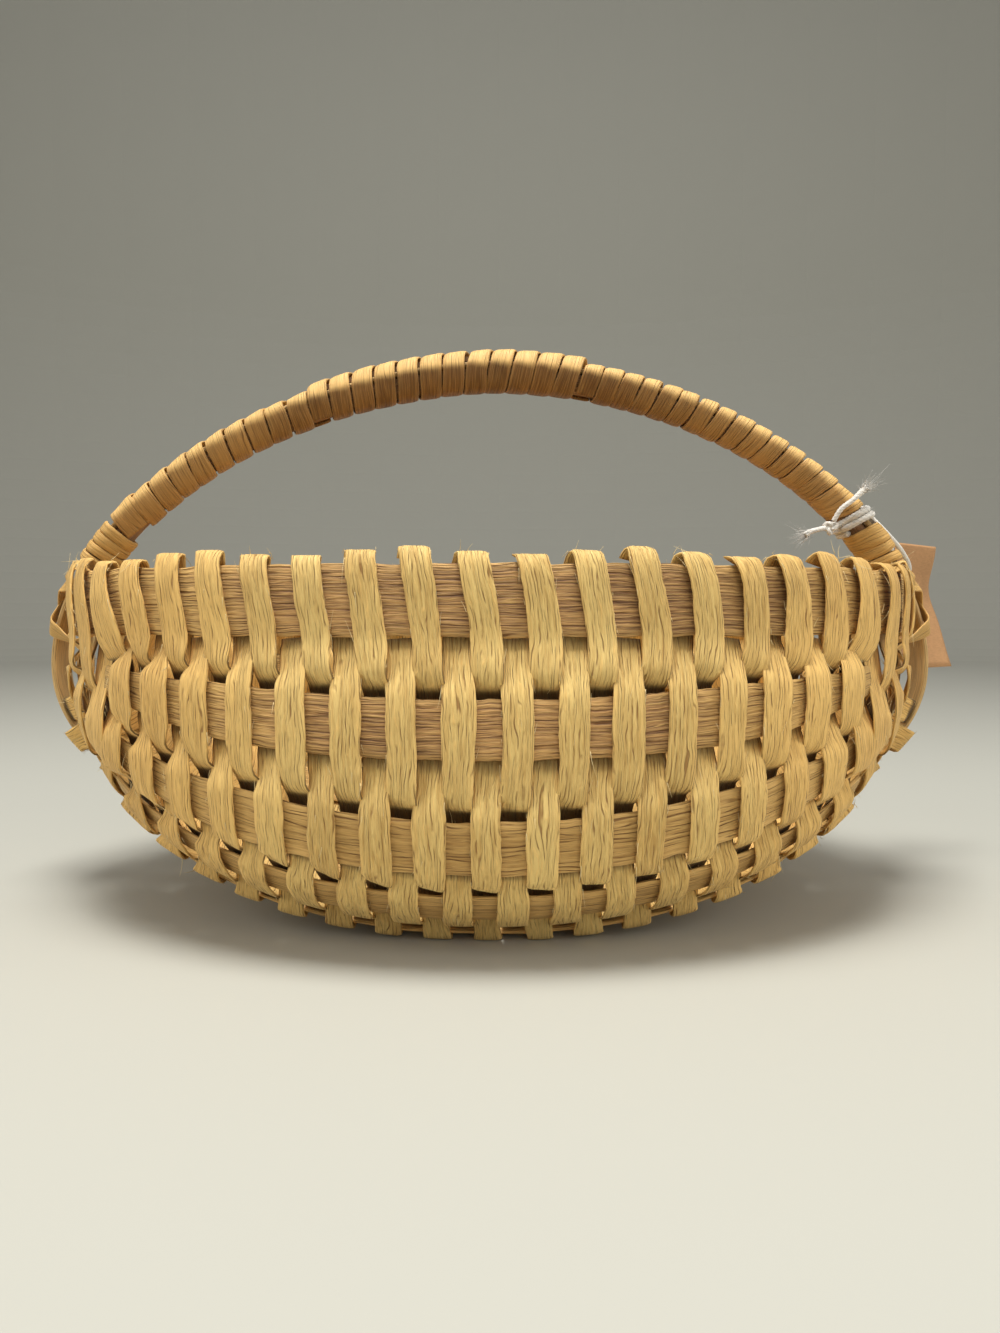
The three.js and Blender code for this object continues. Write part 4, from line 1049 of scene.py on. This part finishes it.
def ear_lashing_run(side):
    """The splint that crosses twice over the hoop outside and is drawn down inside the rim.
    The stations are in millimetres from the rim's level, each with its normal."""
    over = (HOOP_THICKNESS / 2 + FIT + LASHING_THICKNESS / 2 + 0.0004) * 1000
    inner = (RIM_HALF_LENGTH - RIM_THICKNESS / 2 - FIT - LASHING_THICKNESS / 2 - 0.0019) * 1000
    h = (HOOP_WIDTH / 2 + WRAP_THICKNESS + LASHING_WIDTH / 2 + 0.0016) * 1000
    v = (RIM_HEIGHT / 2 + 0.0012) * 1000
    half = HOOP_WIDTH / 2 * 1000
    wide = half + (FIT + LASHING_THICKNESS / 2 + 0.0028) * 1000

    def out(z):
        return hoop_x_at(RIM_LEVEL + z / 1000, side) * 1000 + over

    def outside(y, z, more):
        return out(z) + more, y, z, 1, 0, (out(z - 2) - out(z + 2)) / 4

    def corner(y, z, up):
        return out(z) - 2, y, z, 0.4, np.sign(y) * 0.9, up

    stations = [(inner, -h, -5, -1, 0, 0)]
    crossed = [outside(2.6, -3, 1.6), outside(-2.6, 3, 1.6)]
    for y, more, over_the_first in (-1, 0, []), (1, 0.1, crossed):
        stations += [
            (inner, y * h, -v, -1, 0, -0.3),
            (inner + 5, y * (h + 0.5), -v - 2.4, 0, y * 0.3, -1),
            corner(y * wide, -9, -0.2),
            outside(y * half, -7, 0.2 + more),
            *over_the_first,
            outside(-y * half, 6.6, 0.7 + more),
            corner(-y * wide, 7.6, 0.2),
            (inner + 5, -y * (h + 0.5), v + 2, 0, -y * 0.3, 1),
            (inner, -y * h, v - 0.6, -1, 0, 0.3),
        ]
    stations = np.array(stations + [(inner, -h, -3.6, -1, 0, 0)])
    points = stations[:, :3] / 1000 * (side, 1, 1) + (0, 0, RIM_LEVEL)
    normals = unit(stations[:, 3:] * (side, 1, 1))
    path, (normals,) = follow_stations(points, [normals], 0.0009, 0.6)
    widths = np.full(len(path), LASHING_WIDTH + 0.0003)
    seed = 31 if side > 0 else 32
    return splint_run(path, normals, widths, LASHING_THICKNESS, seed, fray=0.00007)


# Operators

class BASKET_OT_stage(bpy.types.Operator):
    """Paper sweep, soft lamps and the camera of the photograph"""

    bl_idname = "basket.stage"
    bl_label = "Stage and camera"

    def execute(self, context):
        scene = context.scene
        lens = bpy.data.cameras.new("photo_camera")
        lens.sensor_width = 36
        lens.lens = 27
        lens.clip_start = 0.01
        camera = bpy.data.objects.new("photo_camera", lens)
        camera.location = (0.0038, -0.380, 0.1034)
        camera.rotation_euler = (math.radians(87.05), 0, 0)
        scene.collection.objects.link(camera)
        scene.camera = camera
        scene.view_settings.view_transform = "Standard"

        # round floor that curves up into a low backdrop all round: level, a quarter round, upright
        bend = np.linspace(0, np.pi / 2, 24)
        profile = np.concatenate([
            np.stack([np.array([0.3, 0.8, 1.3, 1.8]), np.zeros(4)], -1),
            np.stack([2.0 + 1.2 * np.sin(bend), 1.2 - 1.2 * np.cos(bend)], -1),
            np.stack([np.full(3, 3.2), np.linspace(1.6, 2.6, 3)], -1),
        ])
        corners = 96
        k = np.arange(corners)
        turn = 2 * np.pi * k / corners
        out, up = profile[:, :1], profile[:, 1:]
        grid = np.stack(np.broadcast_arrays(out * np.cos(turn), out * np.sin(turn), up), -1)
        points = np.concatenate([grid.reshape(-1, 3), np.zeros((1, 3))])
        faces = ring_faces(len(profile), corners)[:, ::-1].tolist()
        faces += np.stack([k, (k + 1) % corners, 0 * k + len(points) - 1], -1).tolist()
        mesh = bpy.data.meshes.new("paper_sweep")
        mesh.from_pydata(points.tolist(), [], faces)
        mesh.materials.append(finish("matt_paper"))
        sweep = bpy.data.objects.new("paper_sweep", mesh)
        scene.collection.objects.link(sweep)

        # place, aim, size and power
        lamps = {
            "overhead_softbox": ((-0.05, -0.28, 1.35), (0.0, 0.0, 0.10), 0.5, 21.0),
            "front_fill": ((0.3, -1.35, 0.62), (0.0, 0.0, 0.09), 1.0, 3.3),
            "left_fill": ((-1.2, -0.55, 0.6), (0.0, 0.0, 0.09), 0.9, 6.0),
            "right_fill": ((1.25, -0.55, 0.55), (0.0, 0.0, 0.09), 0.9, 6.8),
            "backdrop_wash": ((0.0, 1.3, 1.9), (0.0, 3.2, 0.7), 1.5, 9.0),
        }
        for name, (spot, aim, size, power) in lamps.items():
            light = bpy.data.lights.new(name, "AREA")
            light.size = size
            light.energy = power
            lamp = bpy.data.objects.new(name, light)
            x, y, z = np.array(spot) - np.array(aim)
            lamp.location = spot
            down, round_up = math.atan2(math.hypot(x, y), z), math.atan2(y, x) + math.pi / 2
            lamp.rotation_euler = (down, 0, round_up)
            scene.collection.objects.link(lamp)
        world = bpy.data.worlds.new("soft_room")
        world.use_nodes = True
        world.node_tree.nodes.clear()
        sky = add(world.node_tree, "Background", (0.95, 0.96, 1.0, 1), 0.40)
        add(world.node_tree, "OutputWorld", sky)
        scene.world = world
        return {"FINISHED"}


class BASKET_OT_tag(bpy.types.Operator):
    """Bare kraft card with a punched hole and a soft curl"""

    bl_idname = "basket.tag"
    bl_label = "Card tag"

    def execute(self, context):
        width, height = TAG_SIZE
        left, right = -TAG_HOLE_IN, width - TAG_HOLE_IN
        low, high = TAG_HOLE_DOWN - height, TAG_HOLE_DOWN
        corner = np.array([(left, low), (right, low), (right, high), (left, high), (left, low)])
        share = np.linspace(0, 4, 96, endpoint=False)
        side = share.astype(int)
        border = mix(corner[side], corner[side + 1], (share - side)[:, None])
        angle = np.arctan2(border[:, 1], border[:, 0])
        circle = np.stack([np.cos(angle), np.sin(angle)], -1) * TAG_HOLE / 2
        # one ring from the hole over the front to the cut edge and back under to the hole
        n = 15
        out = np.linspace(0, 1, n)
        reach = np.concatenate([out, [1], out[::-1], [0]])
        lift = np.repeat([0.5, 0, -0.5, 0], [n, 1, n, 1]) * TAG_THICKNESS
        lift[[0, n - 1, n + 1, 2 * n]] *= 0.8
        edge = np.zeros(2 * n + 2)
        edge[n - 1:n + 2] = (0.5, 1, 0.5)
        flat = mix(circle[:, None], border[:, None], reach[None, :, None])
        x, z = flat[..., 0], flat[..., 1]
        down = (high - z) / height
        curl = sizes().tag_curl * (0.25 + 0.75 * (x - left) / width) * (
            1.05 * np.clip(down, 0, None) ** 2.6 - 0.5 * np.exp(-((down - 0.36) / 0.22) ** 2))
        grid = TAG_HOLE_AT + x[..., None] * TAG_ACROSS + z[..., None] * np.array([0, 0, 1.0])
        grid = grid + (curl + lift)[..., None] * TAG_FACE
        quads = ring_faces(*x.shape, closed=True)[:, ::-1]
        values = {"edge": np.tile(edge, len(x)), "tone": 0.0}
        make_piece("card_tag", grid.reshape(-1, 3), quads, np.zeros((0, 3), int),
                   flat.reshape(-1, 2)[quads.ravel()], values, "kraft_card",
                   "hang_tag", "tag")
        return {"FINISHED"}


class BASKET_OT_tag_string(bpy.types.Operator):
    """Cotton string: turns on the neck, knot, short ends and the loop to the tag"""

    bl_idname = "basket.tag_string"
    bl_label = "Tag string"

    def execute(self, context):
        cotton = ("plied_cotton", "tag_string")
        ring = wrap_ring(False, (STRING_DIAMETER - WRAP_THICKNESS) / 2 + 0.0001)
        i = np.arange(STRING_TURNS * PLACES + 1)
        n, w = ring[i % PLACES].T
        low, high = ring[0, 0], ring[4, 0]
        tilt = STRING_TILT * ((low + high) / 2 - n) / (high - low)
        s = STRING_AT + STRING_PITCH * (i / PLACES - STRING_TURNS / 2) + tilt
        stations = beside(s, n, w)
        knot_at = beside(STRING_AT + KNOT[0], *KNOT[1:])
        into_knot = knot_at + unit(stations[-1] - knot_at) * 0.0022
        turns, _ = follow_stations(np.concatenate([stations, into_knot[None]]), [], 0.0005, 1.0)
        carried_piece("string_turns", string_run(turns, STRING_DIAMETER * STRING_LOFT), *cotton,
                      "tag_string_turns")

        t = np.linspace(0, 2 * np.pi, 119, endpoint=False)
        loops = np.stack([np.sin(t) + 2 * np.sin(2 * t), -1.4 * np.sin(3 * t),
                          np.cos(t) - 2 * np.cos(2 * t)], -1)
        carried_piece("string_knot", string_run(knot_at + loops * KNOT_SIZE, KNOT_STRING), *cotton,
                      "tag_string_knot", closed=True)

        # millimetres from the knot
        ends = {
            "up": [(0.8, -1.2, 2.2), (3.2, -2.4, 6.6), (7.2, -3, 9.8), (12.2, -2.8, 14.4)],
            "low": [(-2.2, -1, -0.2), (-5.6, -2.2, -1), (-7.8, -2.6, -1.6), (-10, -2.4, -3)],
        }
        for end, steps in ends.items():
            path, _ = follow_stations(knot_at + np.array(steps) / 1000, [], 0.0004, 1.0)
            wide = STRING_DIAMETER * (1 + 0.35 * ease(np.linspace(-1.2, 1, len(path))))
            carried_piece(f"string_end_{end}", string_run(path, wide), *cotton,
                          f"tag_string_end_{end}")

        near, hole = STRING_AT - 0.0026, TAG_HOLE_AT
        loop = np.array([
            beside(near, 0.0036, -0.0026),
            beside(near - 0.0092, 0.005, -0.0016),
            hole + (-0.0046, -0.0125, 0.009),
            hole + TAG_FACE * 0.0034 + (-0.0008, -0.0006, 0.0026),
            hole + TAG_FACE * 0.0016,
            hole - TAG_FACE * 0.0016,
            hole - TAG_FACE * 0.0032 + (-0.0008, -0.0006, 0.0026),
            hole + (-0.007, -0.0075, 0.0096),
            beside(near - 0.0092, 0.0054, 0.0024),
            beside(near, 0.0036, 0.0006),
        ])
        path, _ = follow_stations(loop, [], 0.0006, 1.0)
        cord = carried_piece("string_loop", string_run(path, STRING_DIAMETER), *cotton, "tag_loop",
                             body="tag")

        # cotton fibres: a brush at each cut end, and a thin fuzz on the turns
        rng = np.random.default_rng(41)
        tips = knot_at + np.array([steps[-1] for steps in ends.values()]) / 1000
        roots = np.repeat(tips, [90, 70], axis=0)
        ways = np.repeat([(0.62, 0.0, 0.6), (-0.85, 0.0, -0.15)], [90, 70], axis=0)
        roots = roots + rng.normal(0, 0.0007, roots.shape) - ways * 0.002
        ways = unit(ways + rng.normal(0, 0.28, ways.shape))
        lengths = rng.uniform(0.003, 0.0065, len(roots))
        fuzzy = turns[rng.integers(0, len(turns), 260)]
        away = unit(rng.normal(0, 1, fuzzy.shape))
        roots = np.concatenate([roots, fuzzy + away * STRING_DIAMETER * 0.5])
        ways = np.concatenate([ways, unit(away + rng.normal(0, 0.6, away.shape))])
        lengths = np.concatenate([lengths, rng.uniform(0.0008, 0.0026, len(fuzzy))])
        lifts = rng.normal(0, 0.35, ways.shape)
        hair_piece("string_frayed_ends", roots, ways, lifts, lengths, 0.00008,
                   rng.uniform(0, 1, len(roots)), *cotton)
        return {"FINISHED"}


class BASKET_OT_rim_and_ribs(bpy.types.Operator):
    """Oval rim and the ten flat ribs"""

    bl_idname = "basket.rim_and_ribs"
    bl_label = "Rim and ribs"

    def execute(self, context):
        angle = np.linspace(0, 2 * np.pi, RING, endpoint=False)
        cosine, sine, zero = np.cos(angle), np.sin(angle), np.zeros(RING)
        path = np.stack([RIM_HALF_LENGTH * cosine, RIM_HALF_DEPTH * sine, zero + RIM_LEVEL], -1)
        normals = unit(np.stack([cosine / RIM_HALF_LENGTH, sine / RIM_HALF_DEPTH, zero], -1))
        section, w = splint_section(zero + RIM_HEIGHT, RIM_THICKNESS, 0, 16, 0.3)
        ripple = 0.00015 * (np.sin(23 * angle) + np.sin(41 * angle + 1) + np.sin(67 * angle + 2))
        section[..., 1] += ripple[:, None] * w
        run = (path, normals, section, np.abs(w) ** 5, 0.5 + 0.25 * np.sin(3 * angle + 1))
        carried_piece("rim_splint", run, "flat_reed_rim", "rim_splint", "rim_band", closed=True)
        for j in (*range(1, KEEL), *range(KEEL + 1, BACK_RIM)):
            end = LONG_END if j % 2 == 0 else SHORT_END
            u = np.linspace(-end, end, 170)
            place, _, outward = member_frame(j, u)
            tone = 0.5 + wobble(path_length(place), j, 0.12, 0.18)
            run = splint_run(place, outward, member_width(j, u), RIB_THICKNESS, 100 + j,
                             fray=sizes().fray, tone=tone, around=14)
            name = f"rib_front_{j}" if j < KEEL else f"rib_back_{BACK_RIM - j}"
            look = "flat_reed_rib_heartwood" if j in (1, 11) else "flat_reed_rib"
            carried_piece(name + "_splint", run, look, "rib_splint", name, shift=0.31 * j)
        return {"FINISHED"}


class BASKET_OT_hoop(bpy.types.Operator):
    """Closed hoop: keel, ears and the outer face of the handle"""

    bl_idname = "basket.hoop"
    bl_label = "Hoop"

    def execute(self, context):
        # no station falls on a quarter turn, where the two halves meet
        half_step = 0.0087
        angle = np.linspace(-np.pi, np.pi, RING, endpoint=False) + half_step
        path = bow_point(angle)
        normals = unit(np.cross([0.0, 1, 0], lapped(path)))
        section, w = splint_section(np.full(RING, HOOP_WIDTH), HOOP_THICKNESS, 0, 16, 0.35)
        run = (path, normals, section, np.abs(w) ** 5, 0.5 + 0.2 * np.sin(2 * angle))
        carried_piece("hoop_splint", run, "hardwood_hoop", "hoop_splint", "bow_hoop", closed=True)
        return {"FINISHED"}


class BASKET_OT_handle(bpy.types.Operator):
    """Handle core and the three windings of splint over it"""

    bl_idname = "basket.handle"
    bl_label = "Handle"

    def execute(self, context):
        s = np.linspace(FIRST_NECK + 0.001, LAST_NECK - 0.001, 150)
        foot = -CORE_THICKNESS - core_swell(s)
        wide, low = CORE_WIDTH / 2, CORE_FOOT / 2
        top = wide - 0.0003
        corners = [(foot, -low), (-0.001, -wide), (0, -top), (0, top), (-0.001, wide), (foot, low)]
        section = np.stack([np.stack(np.broadcast_arrays(n, w, s)[:2], -1) for n, w in corners], 1)
        run = (beside(s, -HOOP_THICKNESS / 2 - FIT, 0), bow_outward(s), section, 0.0, 0.4)
        carried_piece("handle_core_wood", run, "handle_core_wood", "core_wood", "handle_core")
        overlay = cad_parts["handle_overlay"].data.materials
        overlay.clear()
        overlay.append(finish("handle_core_wood"))
        rows = (("right", 11, {"early": 0.0054}), ("middle", 12, {}),
                ("left", 13, {"loose": 0.0032}))
        for (part, seed, end), (start, turns, wrap) in zip(rows, bow_windings()):
            run, worn = wound_run(start, turns, part == "middle", wrap, sizes().wrap_cover, seed,
                                  0.04, **end)
            carried_piece(f"handle_winding_{part}", run, "wrapping_splint", "wrap_splint",
                          f"handle_wrap_{part}", worn=worn)
        return {"FINISHED"}


class BASKET_OT_lashings(bpy.types.Operator):
    """Lashings at the feet of the handle and at both ears"""

    bl_idname = "basket.lashings"
    bl_label = "Lashings"

    def execute(self, context):
        look = ("lashing_reed", "lashing_splint")
        rows = (("right", 1, FIRST_NECK + NECK_WRAP[1] / 2, 21, 0.0036),
                ("left", -1, bow_windings()[3], 22, 0.0))
        for name, side, start, seed, late in rows:
            run, worn = wound_run(start, NECK_TURNS, False, NECK_WRAP, 0.0006, seed, 0.05,
                                  lead=5, late=late)
            carried_piece(f"neck_winding_{name}", run, *look, f"neck_lashing_{name}", worn=worn)
            carried_piece(f"ear_crossed_lashing_{name}", ear_lashing_run(side), *look,
                          f"ear_lashing_{name}")
        return {"FINISHED"}


class BASKET_OT_weavers(bpy.types.Operator):
    """Weavers, over and under the ribs and round the rim, with their loose fibres"""

    bl_idname = "basket.weavers"
    bl_label = "Weavers"

    def execute(self, context):
        size = sizes()
        rng = np.random.default_rng(77)
        count = size.hair_count // len(splints())
        hairs = []
        for number, first, last in splints():
            stations, *extras = weaver_stations(first, last)
            path, (normals, widths, tucked) = follow_stations(stations, extras, 0.0015)
            # pressed flat where it rests on the floor
            path[:, 2] = np.maximum(path[:, 2], LOWEST_MIDDLE)
            tone = 0.5 + 0.12 * math.sin(number * 2.1)
            tone = tone + wobble(path_length(path), number, 0.22, 0.2)
            run = splint_run(path, normals, widths, WEAVER_THICKNESS, 200 + number, crown=0.00018,
                             fray=size.fray, tone=tone)
            # painted shade on the outer face and both cut edges where the splint goes behind a rib
            # or passes its neighbours
            outwards = run[2][..., 0]
            face = np.sign(outwards - outwards.mean(1, keepdims=True))
            dark = np.maximum(face * tucked[:, :1], np.abs(tucked[:, 1:]) * (run[3] > 0.8))
            carried_piece(f"weaver_{number:02d}_splint", run, "split_reed_weaver",
                          "weaver_splint_" + "abcd"[number % 4], f"weaver_{number:02d}",
                          shift=0.53 * number, tucked=np.clip(dark, 0, 1))
            # loose fibres start on the edges and on the face of the splint, most of them where
            # it is bent over the rim
            chance = 1 + RIM_HAIRS * (path[4:-4, 2] > RIM_TURNS_ABOVE)
            way = unit(np.gradient(path, axis=0))
            flat = unit(normals - way * dot(normals, way))
            at = 4 + rng.choice(len(chance), count, p=chance / chance.sum())
            way, flat, across = way[at], flat[at], np.cross(way, flat)[at]
            edge = np.where(rng.random(count) < EDGE_HAIRS, np.sign(rng.random(count) - 0.5),
                            rng.uniform(-0.9, 0.9, count))
            face = np.where(rng.random(count) < 0.5, -1, 1)[:, None]
            ahead = np.where(rng.random(count) < 0.5, -1, 1)[:, None]
            roots = (path[at] + across * (edge * widths[at] / 2)[:, None]
                     + flat * face * WEAVER_THICKNESS * 0.42)
            ways = unit(way * ahead + across * (edge * rng.uniform(0, 0.25, count))[:, None]
                        + flat * face * rng.uniform(0.02, 0.3, (count, 1)))
            lifts = flat * face * rng.uniform(0, 0.25, (count, 1))
            hairs.append((roots, ways, lifts + rng.normal(0, 0.12, (count, 3))))
        roots, ways, lifts = (np.concatenate(column) for column in zip(*hairs))
        lengths = np.clip(rng.gamma(3.0, size.hair_length / 3.0, len(roots)), *HAIR_LENGTHS)
        tones = rng.uniform(0.5, 1.2, len(roots))
        clear = roots[:, 2] > HAIRLESS_BELOW
        hair_piece("loose_fibres", roots[clear], ways[clear], lifts[clear], lengths[clear],
                   size.hair_thickness / 2, tones[clear], "split_reed_fibre", "weaver_splint_a")
        return {"FINISHED"}


class BASKET_PT_panel(bpy.types.Panel):
    """Sizes, colours and pieces of the basket"""

    bl_idname = "BASKET_PT_panel"
    bl_label = "Splint egg basket"
    bl_space_type = "VIEW_3D"
    bl_region_type = "UI"
    bl_category = "Basket"

    def draw(self, context):
        for group in (context.scene.basket_sizes, context.scene.basket_colours):
            box = self.layout.box()
            for name in group.__annotations__:
                box.prop(group, name)
        for operator in OPERATORS:
            self.layout.operator(operator.bl_idname)


OPERATORS = (
    BASKET_OT_stage,
    BASKET_OT_tag,
    BASKET_OT_tag_string,
    BASKET_OT_rim_and_ribs,
    BASKET_OT_hoop,
    BASKET_OT_handle,
    BASKET_OT_lashings,
    BASKET_OT_weavers,
)
CLASSES = (BasketSizes, BasketColours) + OPERATORS + (BASKET_PT_panel,)


def register():
    """Registers the classes and puts the sizes and colours on the scene."""
    for cls in CLASSES:
        bpy.utils.register_class(cls)
    bpy.types.Scene.basket_sizes = bpy.props.PointerProperty(type=BasketSizes)
    bpy.types.Scene.basket_colours = bpy.props.PointerProperty(type=BasketColours)


def unregister():
    """Takes them away again."""
    del bpy.types.Scene.basket_colours
    del bpy.types.Scene.basket_sizes
    for cls in reversed(CLASSES):
        bpy.utils.unregister_class(cls)


def main():
    """Builds the stage and every piece."""
    register()
    bpy.ops.basket.stage()
    bpy.ops.basket.tag()
    bpy.ops.basket.tag_string()
    bpy.ops.basket.rim_and_ribs()
    bpy.ops.basket.hoop()
    bpy.ops.basket.handle()
    bpy.ops.basket.lashings()
    bpy.ops.basket.weavers()


if __name__ == "__main__":
    main()
